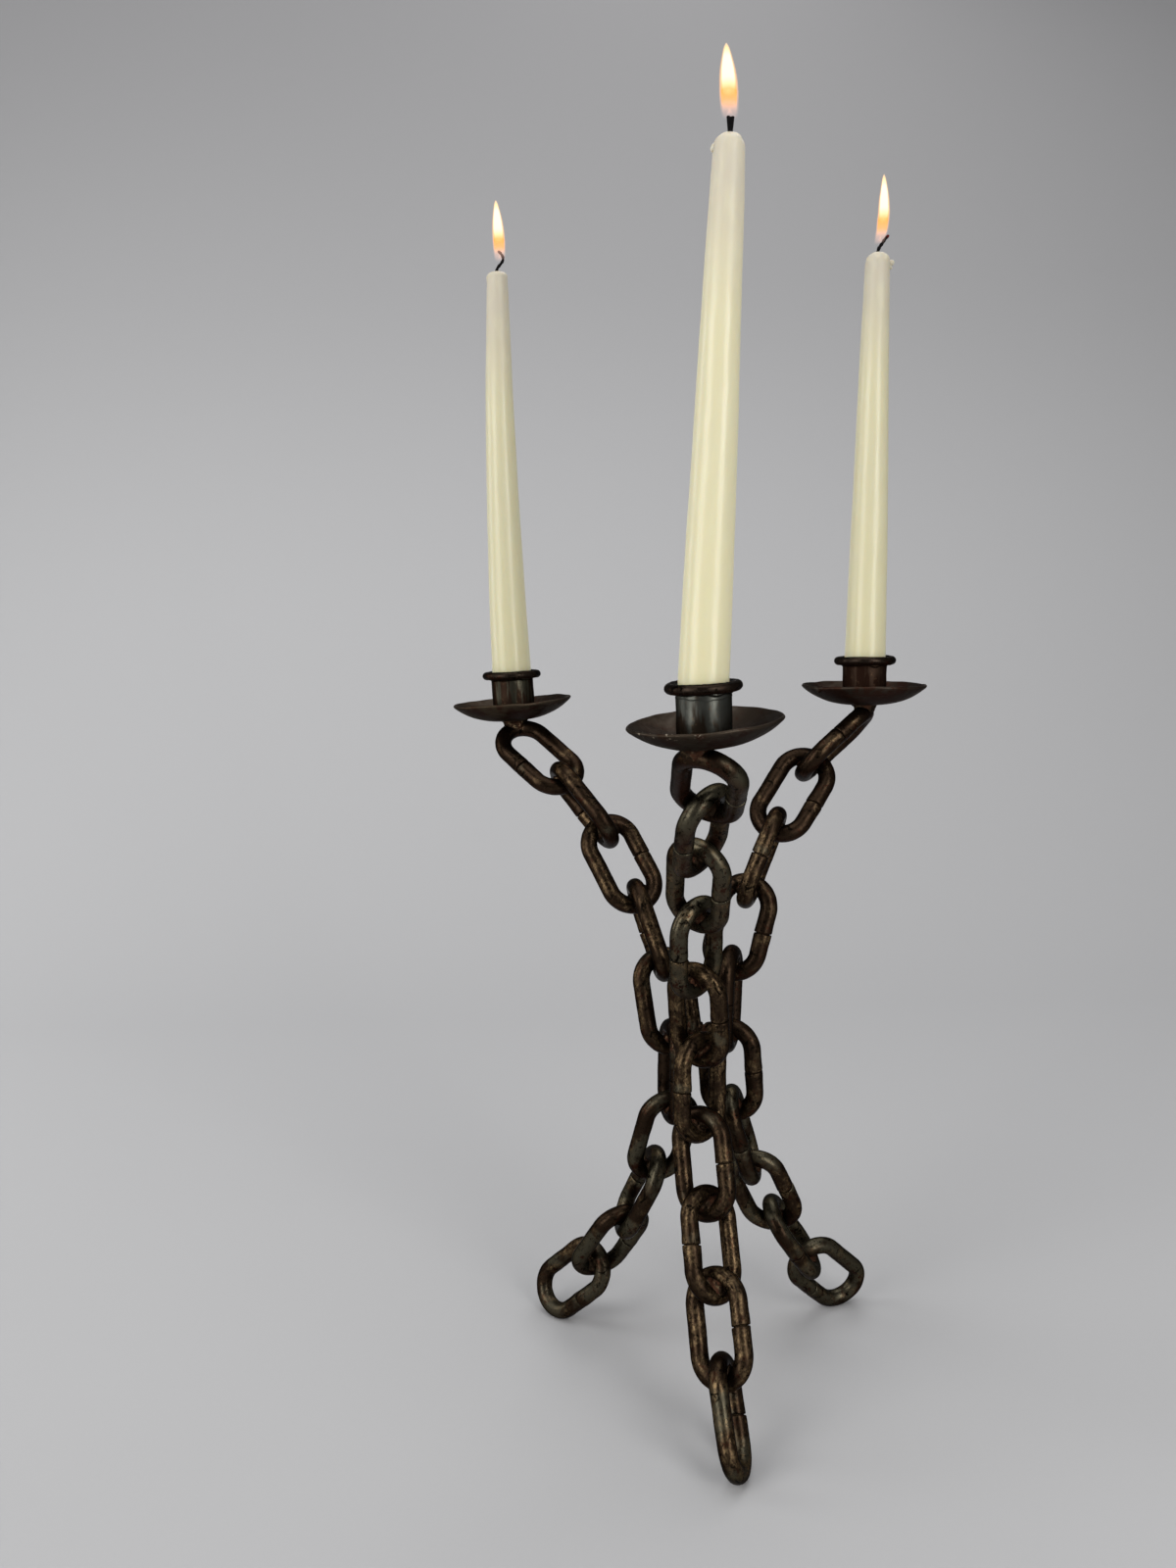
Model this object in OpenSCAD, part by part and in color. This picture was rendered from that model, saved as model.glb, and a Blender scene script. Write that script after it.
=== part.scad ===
// Three-armed candelabra of welded chain links, with drip pans, cups and taper candles.
// Arms are numbered 0 left, 1 right, 2 front. Links are numbered 0 under the pan to 9 at the foot.

/* [Chain links] */
// Diameter of the round bar that every link is bent from
bar_d = 9.4; // [8:0.1:11]
// Outer length of a link
link_l = 59.4; // [54:0.1:66]
// Outer width of a link
link_w = 35.6; // [32:0.1:40]
// Gap between two crowns, which the weld fills
crown_gap = 0.6; // [0.5:0.05:0.8]
// Gap of the butt seam in one limb of each link
seam_w = 0.5; // [0.3:0.05:0.9]
// Depth of the flat on the bar where a foot link stands
foot_flat = 0.25; // [0.1:0.05:0.5]

/* [Welds] */
// Diameter of the weld bead round each crown contact
bead_d = 12.6; // [11.6:0.1:14]
// Gap between the chains where they pass at the waist
waist_gap = 1.1; // [0.9:0.05:1.4]
// Diameter of the weld between two chains at the waist
waist_bead_d = 13; // [12:0.1:15]
// Width of the weld cone under a pan
pan_weld_d = 14; // [12:0.1:17]
// Width of the weld cone at its lower end
pan_weld_tip_d = 5; // [3:0.1:7]
// Height of the weld cone under a pan
pan_weld_h = 8; // [6:0.1:9]

/* [Drip pans] */
// Diameter of a drip pan over its rim
pan_d = 68.8; // [56:0.1:80]
// Diameter of the flat floor in the middle of a pan
pan_floor_d = 16; // [10:0.5:20]
// Depth of the dished pan, outside
pan_h = 10.2; // [8:0.1:13]
// Thickness of the pan's sheet
pan_t = 1.4; // [1:0.1:2]
// Gap between a pan's underside and the crown that carries it
pan_gap = 0.3; // [0.1:0.05:0.5]

/* [Candle cups] */
// Outer diameter of the cup tube
cup_d = 24.2; // [23.6:0.1:30]
// Wall of the cup tube
cup_t = 0.8; // [0.6:0.05:1.05]
// Height of the cup's mouth above the underside of its pan
cup_top = 27; // [24:0.1:34]
// Diameter of the wire of the rim ring
ring_wire_d = 4.7; // [3.5:0.1:6]
// Gap between the rim ring and the cup tube
ring_fit = 0.1; // [0.05:0.05:0.3]
// Height that the rim ring stands above the cup's mouth
ring_rise = 1.1; // [0.5:0.1:2]

/* [Candles] */
// Gap between a candle and the bore of its cup at the mouth
candle_fit = 0.3; // [0.3:0.05:0.6]
// Height of the left candle above its cup
left_candle_h = 222.5; // [120:0.5:240]
// Height of the right candle above its cup
right_candle_h = 215; // [120:0.5:240]
// Height of the front candle above its cup
front_candle_h = 221; // [120:0.5:240]
// Diameter of a candle just under its rounded top
candle_top_d = 13; // [11:0.1:15]
// Height of a candle's rounded top
candle_dome_h = 4.6; // [3:0.1:4.6]
// Diameter of the melt pool round the wick
pool_d = 7; // [5:0.1:8]
// Depth of the melt pool
pool_h = 1; // [0.5:0.1:1.5]
// Narrowing in diameter of a candle's butt, so that it can stand askew in the cup
butt_taper = 5.6; // [5:0.1:8]
// Gap between a candle's butt and the floor of its cup
butt_fit = 0.4; // [0.3:0.05:0.6]
// Diameter of a wick
wick_d = 1.8; // [1.4:0.1:2.4]
// Gap between a wick and the channel in its candle
wick_fit = 0.1; // [0.05:0.05:0.2]
// Diameter of a wick's charred end
wick_char_d = 1.5; // [1.1:0.1:1.7]
// Radius of the curl at a wick's end
wick_bend_r = 8; // [6:0.5:12]
// Height of the straight wick above the melt pool
wick_rise = 2.5; // [1.5:0.1:5]

/* [Hidden] */
$fn = 64;
fine = 240;
// Arms and their bearings, seen from above
left = 0;
right = 1;
front = 2;
arm_az = [146, 29, 272];
// Lean of each link from straight down, outward positive
link_lean = [
    [-56, -44, -33, -24, -11, 1, 18, 27, 34, 47],
    [-55, -43, -28, -17, -6, 3, 16, 27, 35, 46],
    [-55, -42, -30, -18, -6, 6, 22, 31, 34, 35]
];
// Sway of each link out of the plane of its arm
link_sway = [
    [2, 0, 3, 5, 3, 2, -1, 4, 1, 5],
    [4, -5, -1, 1, -3, -1, -2, 2, -1, 2],
    [2, 0, 1, 1, 3, -2, 2, 1, 1, 4]
];
// Turn of each link about the chain, a quarter turn or so from its neighbours
link_turn = [
    [25, -45, 36, -40, 36, -45, 40, -37, 30, -72],
    [38, -41, 44, -41, 46, -41, 39, -44, 31, -73],
    [26, -42, 37, -40, 39, -38, 39, -35, 39, -68]
];
// Side of the limb that has the butt seam
seam_side = [
    [1, -1, -1, -1, -1, 1, -1, -1, -1, 1],
    [-1, -1, -1, -1, -1, -1, -1, -1, -1, 1],
    [1, -1, 1, -1, 1, -1, 1, -1, 1, 1]
];
// Tilt of each butt seam across its limb
seam_tilt = [4, -6, 8, -3, 5, -5, 3, -4, 6, -5];
// Number of links in a chain, and the last link above the waist
links = 10;
waist_link = links / 2 - 1;
// Where the chains cross the waist
waist_az = [146, 27, 265];
waist_r_share = [1, 1.02, 0.98];
waist_reach_share = 1.43;
waist_weld_share = 1.43;
// Place of each pan from the top of its crown, as shares of the bar, outward and sideways
pan_out_share = [0.4, 0.07, 0];
pan_side_share = [0.2, 0.17, 0.43];
// Shares of the pan gap, of the weld cone, and of the cup's height and width for its place, on each arm
pan_gap_share = [2.6, 1, 1.3];
pan_weld_share = [0.7, 0.9, 1];
cup_top_share = [1.01, 0.94, 0.99];
cup_side_share = [0.019, 0.007, -0.036];
// Tilts of the pans and cups, about X and about Y, and of the rings and candles, about Y
pan_tilt = [[-1.4, -3.1], [-1.2, 1.3], [2.7, -3.7]];
cup_tilt = [[-1, -1.9], [-1.2, 1.4], [0.5, -0.6]];
ring_tilt = [-1.4, 0.5, -1.9];
candle_lean = [-0.3, 1.5, 3.6];
candle_dome_share = [0.74, 1.2, 1.3];
// Direction and angle of the curl at each wick's end
wick_az = [0, 0, 180];
wick_bend = [30, 55, 15];
wick_root = 8;
candle_h = [left_candle_h, right_candle_h, front_candle_h];
// One overrun for all cuts, and the reach of the wedge that cuts a pan's rim
over = 1;
rim_reach_share = 1.4;
iron = "#3b2d25";
weld = "#4a3a2c";
pan_iron = "#43332a";
cup_iron = "#4b4a48";
wax = "#e6dfc9";
char_black = "#2a211c";

// Derived sizes
link_pitch = link_l - bar_d;
link_r = (link_w - bar_d) / 2;
crown_step = bar_d + crown_gap;
waist_r = (bar_d + waist_gap + waist_reach_share * link_r) / sqrt(3);
pan_r = pan_d / 2;
pan_floor_r = pan_floor_d / 2;
pan_arc_r = ((pan_r - pan_floor_r) * (pan_r - pan_floor_r) + pan_h * pan_h) / (2 * pan_h);
cup_bore = cup_d - 2 * cup_t;
ring_r = cup_d / 2 + ring_fit + ring_wire_d / 2;
ring_drop = ring_rise - ring_wire_d / 2;
candle_d = cup_bore - 2 * candle_fit;
butt_d = candle_d - butt_taper;

function unit(v) = v / norm(v);
function outward(a) = [cos(arm_az[a]), sin(arm_az[a]), 0];
function sideways(a) = [-sin(arm_az[a]), cos(arm_az[a]), 0];

// Directions of link i of arm a: down the chain, and across the link's width
function lean_dir(a, i) = sin(link_lean[a][i]) * outward(a) - [0, 0, cos(link_lean[a][i])];
function lean_out(a, i) = cos(link_lean[a][i]) * outward(a) + [0, 0, sin(link_lean[a][i])];
function down(a, i) = cos(link_sway[a][i]) * lean_dir(a, i) + sin(link_sway[a][i]) * sideways(a);
function across(a, i) = cos(link_turn[a][i]) *
        (cos(link_sway[a][i]) * sideways(a) - sin(link_sway[a][i]) * lean_dir(a, i))
    + sin(link_turn[a][i]) * lean_out(a, i);

// Way from the upper crown of the first link to that of link i, crown in crown
function chain_step(a, i) = link_pitch * down(a, i) - crown_step * unit(down(a, i) + down(a, i + 1));
function chain_way(a, i) = i == 0 ? [0, 0, 0] : chain_way(a, i - 1) + chain_step(a, i - 1);

// Where the chain passes the waist, and the lowest point of its foot, from the same start
function waist_way(a) =
    (chain_way(a, waist_link) + link_pitch * down(a, waist_link) + chain_way(a, waist_link + 1)) / 2;
function low_bend(a, i) = link_r * (abs(down(a, i)[2]) - norm([down(a, i)[2], across(a, i)[2]]));
function foot_way(a) = chain_way(a, links - 1)[2] + link_pitch * down(a, links - 1)[2]
    + low_bend(a, links - 1) - bar_d / 2;

// The upper crown of the first link, with the foot flat on the floor
function waist_x(a) = waist_r * waist_r_share[a] * cos(waist_az[a]);
function waist_y(a) = waist_r * waist_r_share[a] * sin(waist_az[a]);
function chain_top(a) = [
    waist_x(a) - waist_way(a)[0],
    waist_y(a) - waist_way(a)[1],
    -foot_way(a) - foot_flat
];
function crown_up(a, i) = chain_top(a) + chain_way(a, i);
function crown_low(a, i) = crown_up(a, i) + link_pitch * down(a, i);
function contact(a, i) = (crown_low(a, i) + crown_up(a, i + 1)) / 2;

// Highest point of the first link, on which the pan is welded
function rise_dir(a) = unit(down(a, 0)[2] * down(a, 0) + across(a, 0)[2] * across(a, 0));
function crown_peak(a) = crown_up(a, 0) + link_r * (down(a, 0) + rise_dir(a)) + [0, 0, bar_d / 2];
function pan_at(a) = crown_peak(a) + [0, 0, pan_gap_share[a] * pan_gap]
    + bar_d * (pan_out_share[a] * outward(a) + pan_side_share[a] * sideways(a));
function tilted_up(t) = [sin(t[1]) * cos(t[0]), -sin(t[0]), cos(t[1]) * cos(t[0])];
function mouth_h(a) = cup_top * cup_top_share[a];
function cup_at(a) = pan_at(a) + [cup_side_share[a] * cup_d, 0, 0];
function mouth_at(a) = cup_at(a) + mouth_h(a) * tilted_up(cup_tilt[a]);
function rim_at(a) = pan_at(a) + pan_h * tilted_up(pan_tilt[a]);

// The model stands with the middle of its outline, which the pans' rims set, over the origin
middle = [(rim_at(left)[0] + rim_at(right)[0]) / 2, (rim_at(front)[1] + rim_at(left)[1]) / 2, 0];

// Depth of a candle's butt, clear of the dished floor also where pan and candle tilt apart
function askew(a) = abs(candle_lean[a] - pan_tilt[a][1]) + abs(pan_tilt[a][0]);
function past_floor(r) = max(r - pan_floor_r, 0);
function floor_at(r) = pan_arc_r
    - sqrt((pan_arc_r - pan_t) * (pan_arc_r - pan_t) - past_floor(r) * past_floor(r));
function butt_h(a) = mouth_h(a) - floor_at(butt_d / 2) - butt_fit
    - butt_d / 2 * (sin(askew(a)) - sin(abs(candle_lean[a] - cup_tilt[a][1])) / 2);

// Half ring of bar that closes one end of a link
module crown() {
    rotate([90, 0, 90])
        rotate_extrude(angle = 180)
            translate([link_r, 0])
                circle(d = bar_d);
}

module upper_crown() {
    translate([0, 0, -link_r])
        crown();
}

module lower_crown() {
    translate([0, 0, link_r - link_pitch])
        rotate([180, 0, 0])
            crown();
}

module limb(side) {
    translate([0, side * link_r, link_r - link_pitch])
        cylinder(d = bar_d, h = link_pitch - 2 * link_r);
}

// A whole link, hung from the middle of the bar of its upper crown
module link_bar() {
    upper_crown();
    lower_crown();
    limb(1);
    limb(-1);
}

// Places its children on link i of arm a
module on_link(a, i) {
    translate(crown_up(a, i) - middle)
        rotate([link_sway[a][i], -link_lean[a][i], arm_az[a]])
            rotate([0, 0, -link_turn[a][i]])
                children();
}

module floor_cut() {
    translate([0, 0, -link_w])
        cube([4 * pan_d, 4 * pan_d, 2 * link_w], center = true);
}

module seam_cut(a, i) {
    translate([0, seam_side[a][i] * link_r, -link_pitch / 2])
        rotate([seam_tilt[i], 0, 0])
            cube([bar_d + 2 * over, bar_d + 2 * over, seam_w], center = true);
}

module link(a, i) {
    color(iron)
        difference() {
            on_link(a, i)
                difference() {
                    link_bar();
                    seam_cut(a, i);
                }
            if (i == links - 1)
                floor_cut();
        }
}

// Weld that fills the corner round one contact of two crowns
module bead(a, i) {
    difference() {
        translate(contact(a, i) - middle)
            sphere(d = bead_d);
        on_link(a, i)
            lower_crown();
        on_link(a, i + 1)
            upper_crown();
    }
}

module link_welds(a) {
    color(weld)
        for (i = [0 : links - 2])
            bead(a, i);
}

// Weld where two neighbouring chains pass each other at the waist
function waist_touch(a, b) = let (
        m = (contact(a, waist_link) + contact(b, waist_link)) / 2
    ) [waist_weld_share * m[0], waist_weld_share * m[1], m[2]];

module waist_bead(a, b) {
    difference() {
        translate(waist_touch(a, b) - middle)
            sphere(d = waist_bead_d);
        on_link(a, waist_link)
            lower_crown();
        on_link(b, waist_link + 1)
            upper_crown();
    }
}

module waist_welds() {
    color(weld) {
        waist_bead(left, right);
        waist_bead(right, front);
        waist_bead(front, left);
    }
}

// Outline of the room over a pan's sheet, at a depth into it: a flat floor, then an arc
module bowl_side(inset) {
    translate([0, inset])
        square([pan_floor_r, pan_arc_r]);
    intersection() {
        translate([pan_floor_r, pan_arc_r])
            circle(r = pan_arc_r - inset, $fn = fine);
        translate([pan_floor_r, 0])
            square([2 * pan_arc_r, 2 * pan_arc_r]);
    }
}

module bowl(inset) {
    rotate_extrude($fn = fine)
        bowl_side(inset);
}

// Dished pan, cut square to the sheet at its rim
module dish() {
    rotate_extrude($fn = fine)
        intersection() {
            difference() {
                bowl_side(0);
                bowl_side(pan_t);
            }
            polygon([
                [0, pan_arc_r],
                [0, -pan_h],
                rim_reach_share * [pan_r - pan_floor_r, pan_h - pan_arc_r] + [pan_floor_r, pan_arc_r],
                [pan_floor_r, pan_arc_r]
            ]);
        }
}

module on_pan(a) {
    translate(pan_at(a) - middle)
        rotate([pan_tilt[a][0], pan_tilt[a][1], 0])
            children();
}

module on_cup(a) {
    translate(cup_at(a) - middle)
        rotate([cup_tilt[a][0], cup_tilt[a][1], 0])
            children();
}

// Candle places are measured up from the middle of the cup's mouth
module on_candle(a) {
    translate(mouth_at(a) - middle)
        rotate([0, candle_lean[a], 0])
            children();
}

module drip_pan(a) {
    color(pan_iron)
        on_pan(a)
            dish();
}

// Weld cone between the crown of the first link and the underside of its pan
module pan_weld(a) {
    color(weld)
        difference() {
            translate((pan_at(a) + crown_peak(a)) / 2 - middle - [0, 0, pan_weld_h - over])
                cylinder(d1 = pan_weld_tip_d, d2 = pan_weld_share[a] * pan_weld_d, h = pan_weld_h);
            on_pan(a)
                bowl(0);
            on_link(a, 0)
                upper_crown();
        }
}

// Cup tube, its foot cut to the floor of the dished pan
module cup(a) {
    color(cup_iron)
        intersection() {
            on_cup(a)
                difference() {
                    cylinder(d = cup_d, h = mouth_h(a));
                    translate([0, 0, -over])
                        cylinder(d = cup_bore, h = mouth_h(a) + 2 * over);
                }
            on_pan(a)
                bowl(pan_t);
        }
}

module rim_ring(a) {
    color(iron)
        translate(mouth_at(a) - middle)
            rotate([cup_tilt[a][0], ring_tilt[a], 0])
                translate([0, 0, ring_drop])
                    rotate_extrude()
                        translate([ring_r, 0])
                            circle(d = ring_wire_d);
}

// Taper candle with a whittled butt, a domed top and a small melt pool
module candle(a) {
    h = candle_h[a];
    top_r = candle_top_d / 2;
    dome_h = candle_dome_h * candle_dome_share[a];
    dome_r = (top_r * top_r + dome_h * dome_h) / (2 * dome_h);
    pool_r = (pool_d * pool_d / 4 + pool_h * pool_h) / (2 * pool_h);
    color(wax)
        on_candle(a)
            difference() {
                rotate_extrude()
                    union() {
                        polygon([
                            [0, -butt_h(a)],
                            [butt_d / 2, -butt_h(a)],
                            [candle_d / 2, 0],
                            [top_r, h - dome_h],
                            [0, h - dome_h]
                        ]);
                        intersection() {
                            translate([0, h - dome_r])
                                circle(r = dome_r);
                            translate([0, h - dome_h])
                                square([candle_d, candle_d]);
                        }
                    }
                translate([0, 0, h - pool_h + pool_r - pool_h / 2])
                    sphere(r = pool_r);
                translate([0, 0, -butt_h(a) - over])
                    cylinder(d = wick_d + 2 * wick_fit, h = butt_h(a) + h + 2 * over);
            }
}

// Wick: straight through the candle, with a thinner charred curl at its end
module wick(a) {
    top_z = candle_h[a] + wick_rise;
    color(char_black)
        on_candle(a)
            union() {
                translate([0, 0, -butt_h(a)])
                    cylinder(d = wick_d, h = butt_h(a) + top_z);
                translate([0, 0, top_z])
                    rotate([90, 0, wick_az[a]])
                        translate([-wick_bend_r, 0, 0])
                            rotate([0, 0, -wick_root])
                                rotate_extrude(angle = wick_bend[a] + wick_root, $fn = fine)
                                    translate([wick_bend_r, 0])
                                        circle(d = wick_char_d);
            }
}

link(left, 0);  // left_link_1
link(left, 1);  // left_link_2
link(left, 2);  // left_link_3
link(left, 3);  // left_link_4
link(left, 4);  // left_link_5
link(left, 5);  // left_link_6
link(left, 6);  // left_link_7
link(left, 7);  // left_link_8
link(left, 8);  // left_link_9
link(left, 9);  // left_link_10
link(right, 0);  // right_link_1
link(right, 1);  // right_link_2
link(right, 2);  // right_link_3
link(right, 3);  // right_link_4
link(right, 4);  // right_link_5
link(right, 5);  // right_link_6
link(right, 6);  // right_link_7
link(right, 7);  // right_link_8
link(right, 8);  // right_link_9
link(right, 9);  // right_link_10
link(front, 0);  // front_link_1
link(front, 1);  // front_link_2
link(front, 2);  // front_link_3
link(front, 3);  // front_link_4
link(front, 4);  // front_link_5
link(front, 5);  // front_link_6
link(front, 6);  // front_link_7
link(front, 7);  // front_link_8
link(front, 8);  // front_link_9
link(front, 9);  // front_link_10
link_welds(left);  // left_link_welds
link_welds(right);  // right_link_welds
link_welds(front);  // front_link_welds
waist_welds();
pan_weld(left);  // left_pan_weld
pan_weld(right);  // right_pan_weld
pan_weld(front);  // front_pan_weld
drip_pan(left);  // left_drip_pan
drip_pan(right);  // right_drip_pan
drip_pan(front);  // front_drip_pan
cup(left);  // left_cup
cup(right);  // right_cup
cup(front);  // front_cup
rim_ring(left);  // left_rim_ring
rim_ring(right);  // right_rim_ring
rim_ring(front);  // front_rim_ring
candle(left);  // left_candle
candle(right);  // right_candle
candle(front);  // front_candle
wick(left);  // left_wick
wick(right);  // right_wick
wick(front);  // front_wick
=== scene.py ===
"""Dresses a candelabra: three arms of welded chain links with pans, cups, tapers and flames."""
import logging
import math
from dataclasses import dataclass, field
from enum import Enum

import bmesh
import bpy
import numpy as np
from mathutils import Matrix, Vector


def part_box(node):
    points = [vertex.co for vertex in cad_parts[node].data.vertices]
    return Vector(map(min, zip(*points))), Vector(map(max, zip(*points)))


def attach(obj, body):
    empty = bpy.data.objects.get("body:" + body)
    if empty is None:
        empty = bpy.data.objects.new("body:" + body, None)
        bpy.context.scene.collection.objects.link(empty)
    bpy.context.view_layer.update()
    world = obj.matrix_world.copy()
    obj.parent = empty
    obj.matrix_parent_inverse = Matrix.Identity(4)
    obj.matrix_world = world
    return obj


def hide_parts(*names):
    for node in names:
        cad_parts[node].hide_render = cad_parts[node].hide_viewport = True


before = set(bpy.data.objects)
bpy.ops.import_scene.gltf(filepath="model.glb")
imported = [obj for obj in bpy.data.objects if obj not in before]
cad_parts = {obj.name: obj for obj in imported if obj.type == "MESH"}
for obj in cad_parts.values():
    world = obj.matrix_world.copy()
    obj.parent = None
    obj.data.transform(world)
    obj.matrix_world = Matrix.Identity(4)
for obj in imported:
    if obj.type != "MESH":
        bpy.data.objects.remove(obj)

log = logging.getLogger("candelabra")

Colour = tuple[float, float, float]
Outline = list[tuple[float, float]]
Socket = bpy.types.NodeSocket
MM = 0.001
TURN = 2 * math.pi
RIPPLE_WAVES = 14
BALL_CUTS = 4
LINK_SEED_STEP = 100
HEAD_SEED, HEAD_SEED_STEP = 30, 10


class Arm(Enum):
    """The three arms, named as the camera sees them."""

    LEFT = "left"
    RIGHT = "right"
    FRONT = "front"


class Part(Enum):
    """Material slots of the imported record."""

    LINK = "link_iron"
    WELD = "weld"
    PAN = "pan_iron"
    CUP = "cup_steel"
    WAX = "wax"
    WICK = "wick"


def ripple(points: np.ndarray, seed: int, length: float) -> np.ndarray:
    """Gives smooth seeded noise at points, a sum of sine waves that run every way.

    Args:
        points: Places in metres, one row each.
        seed: Seed of the waves' directions and phases.
        length: Mean wavelength in metres.

    Returns:
        One value for each point, mostly between -1 and 1.
    """
    rng = np.random.default_rng(seed)
    ways = rng.normal(size=(RIPPLE_WAVES, 3))
    ways /= np.linalg.norm(ways, axis=1, keepdims=True)
    ways *= rng.uniform(0.6, 1.7, (RIPPLE_WAVES, 1)) * TURN / length
    phase = rng.uniform(0, TURN, RIPPLE_WAVES)
    return np.sin(points @ ways.T + phase).sum(axis=1) * 1.1 / math.sqrt(RIPPLE_WAVES)


def lobes(bearing: np.ndarray, sizes: tuple, rng: np.random.Generator) -> np.ndarray:
    """Sums sines round a circle, each at a drawn phase.

    Args:
        bearing: Angles round the circle.
        sizes: Pairs of a number of waves and their height.
        rng: Source of the phases.

    Returns:
        One height for each angle.
    """
    return sum(size * np.sin(wave * bearing + rng.uniform(0, TURN)) for wave, size in sizes)


def hump(off: np.ndarray, width: float) -> np.ndarray:
    """Falls as a bell from 1 where off is 0."""
    return np.exp(-(off / width) ** 2)


def evened(line: np.ndarray, times: int) -> np.ndarray:
    """Evens out a line.

    Args:
        line: Its points, which are changed.
        times: How often each inner point is drawn to its neighbours' mean.

    Returns:
        The same line.
    """
    for _ in range(times):
        line[1:-1] = (line[:-2] + 2 * line[1:-1] + line[2:]) / 4
    return line


def beside(*parts: np.ndarray | float) -> np.ndarray:
    """Sets lists of values and constants side by side, as columns."""
    return np.column_stack(np.broadcast_arrays(*parts))


def smooth_step(low: float, high: float, value: np.ndarray) -> np.ndarray:
    """Rises smoothly from 0 at low to 1 at high."""
    t = np.clip((value - low) / (high - low), 0, 1)
    return t * t * (3 - 2 * t)


def smooth_union(a: np.ndarray, b: np.ndarray, blend: float) -> np.ndarray:
    """Joins two distance fields with a fillet of about the size of blend."""
    h = np.clip(0.5 + 0.5 * (b - a) / blend, 0, 1)
    return b + (a - b) * h - blend * h * (1 - h)


@dataclass(frozen=True)
class Pose:
    """Place and axes of a piece: the columns of axes are its local X, Y and Z."""

    centre: np.ndarray
    axes: np.ndarray

    def outwards(self, local: np.ndarray) -> np.ndarray:
        """Takes local points to the row frame."""
        return local @ self.axes.T + self.centre

    def inwards(self, points: np.ndarray) -> np.ndarray:
        """Takes points of the row frame to local ones."""
        return (points - self.centre) @ self.axes

    def matrix(self) -> Matrix:
        """Gives the pose to Blender.

        Returns:
            The full matrix.
        """
        full = np.eye(4)
        full[:3, :3] = self.axes
        full[:3, 3] = self.centre
        return Matrix(full.tolist())


REST = Pose(np.zeros(3), np.eye(3))


def node_mesh(node: str) -> tuple[np.ndarray, np.ndarray]:
    """Reads a CAD node.

    Args:
        node: Name of the node.

    Returns:
        Its vertices and its triangles' vertex numbers.
    """
    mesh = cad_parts[node].data
    mesh.calc_loop_triangles()
    points = np.zeros(len(mesh.vertices) * 3)
    mesh.vertices.foreach_get("co", points)
    corners = np.zeros(len(mesh.loop_triangles) * 3, np.int32)
    mesh.loop_triangles.foreach_get("vertices", corners)
    return points.reshape(-1, 3), corners.reshape(-1, 3)


def spread(node: str) -> tuple[np.ndarray, np.ndarray]:
    """Finds how a CAD node's surface is spread.

    Args:
        node: Name of the node.

    Returns:
        The surface's centroid, and its axes as columns, the least spread first.
    """
    points, corners = node_mesh(node)
    tri = points[corners]
    area = np.linalg.norm(np.cross(tri[:, 1] - tri[:, 0], tri[:, 2] - tri[:, 0]), axis=1) / 2
    total = area.sum()
    middle = (tri.mean(axis=1) * area[:, None]).sum(axis=0) / total
    away = tri - middle
    second = np.einsum("t,tki,tkj->ij", area / 12, away, away)
    summed = away.sum(axis=1)
    second += np.einsum("t,ti,tj->ij", area / 12, summed, summed)
    _, axes = np.linalg.eigh(second / total)
    return middle, axes


def square_up(axis: np.ndarray) -> np.ndarray:
    """Squares up axes round a direction.

    Args:
        axis: Direction of their Z.

    Returns:
        The axes as columns, with X as near to the frame's X as may be.
    """
    z = axis / np.linalg.norm(axis)
    x = np.array([1.0, 0.0, 0.0]) - z[0] * z
    x /= np.linalg.norm(x)
    return np.column_stack([x, np.cross(z, x), z])


def mesh_piece(
    name: str,
    points: np.ndarray,
    faces: list,
    pose: Pose,
    finish: bpy.types.Material,
    **layers: np.ndarray,
) -> bpy.types.Object:
    """Makes a smooth-shaded piece from local points.

    Args:
        name: Name of the piece.
        points: Local places in metres, which the finish reads as the layer own.
        faces: Vertex numbers of each face.
        pose: Where the piece goes.
        finish: Its material.
        layers: Other vectors that the finish reads, by name, one for each point.

    Returns:
        The new object.
    """
    own = np.asarray(points, float)
    mesh = bpy.data.meshes.new(name)
    mesh.from_pydata(pose.outwards(own).tolist(), [], faces)
    mesh.polygons.foreach_set("use_smooth", [True] * len(mesh.polygons))
    mesh.materials.append(finish)
    for label, values in {"own": own, **layers}.items():
        layer = mesh.attributes.new(label, "FLOAT_VECTOR", "POINT")
        layer.data.foreach_set("vector", (own * 0 + values).ravel())
    mesh.update()
    piece = bpy.data.objects.new(name, mesh)
    bpy.context.scene.collection.objects.link(piece)
    return piece


def grid_faces(rows: int, around: int, closed: bool = False) -> list:
    """Joins rings of points.

    Args:
        rows: Number of rings.
        around: Points in each ring.
        closed: Whether the last ring joins the first.

    Returns:
        Quads between neighbouring rings.
    """
    faces = []
    for i in range(rows if closed else rows - 1):
        a, b = i * around, (i + 1) % rows * around
        for j in range(around):
            k = (j + 1) % around
            faces.append((a + j, a + k, b + k, b + j))
    return faces


def turned(profile: Outline, sides: int) -> tuple[np.ndarray, list]:
    """Turns an outline about Z, with a single point where it starts or ends on the axis.

    Args:
        profile: Pairs of radius and height.
        sides: Points round each ring.

    Returns:
        Local points and faces.
    """
    angles = np.linspace(0, TURN, sides, endpoint=False)
    ring = np.column_stack([np.cos(angles), np.sin(angles)])
    rows = [p for p in profile if p[0] > 0]
    points = np.vstack([np.column_stack([r * ring, np.full(sides, z)]) for r, z in rows])
    faces = grid_faces(len(rows), sides)
    for at, first in ((profile[0], True), (profile[-1], False)):
        if at[0] > 0:
            continue
        tip, base = len(points), 0 if first else (len(rows) - 1) * sides
        points = np.vstack([points, [[0, 0, at[1]]]])
        for j in range(sides):
            k = (j + 1) % sides
            faces.append((tip, base + k, base + j) if first else (tip, base + j, base + k))
    return points, faces


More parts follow.
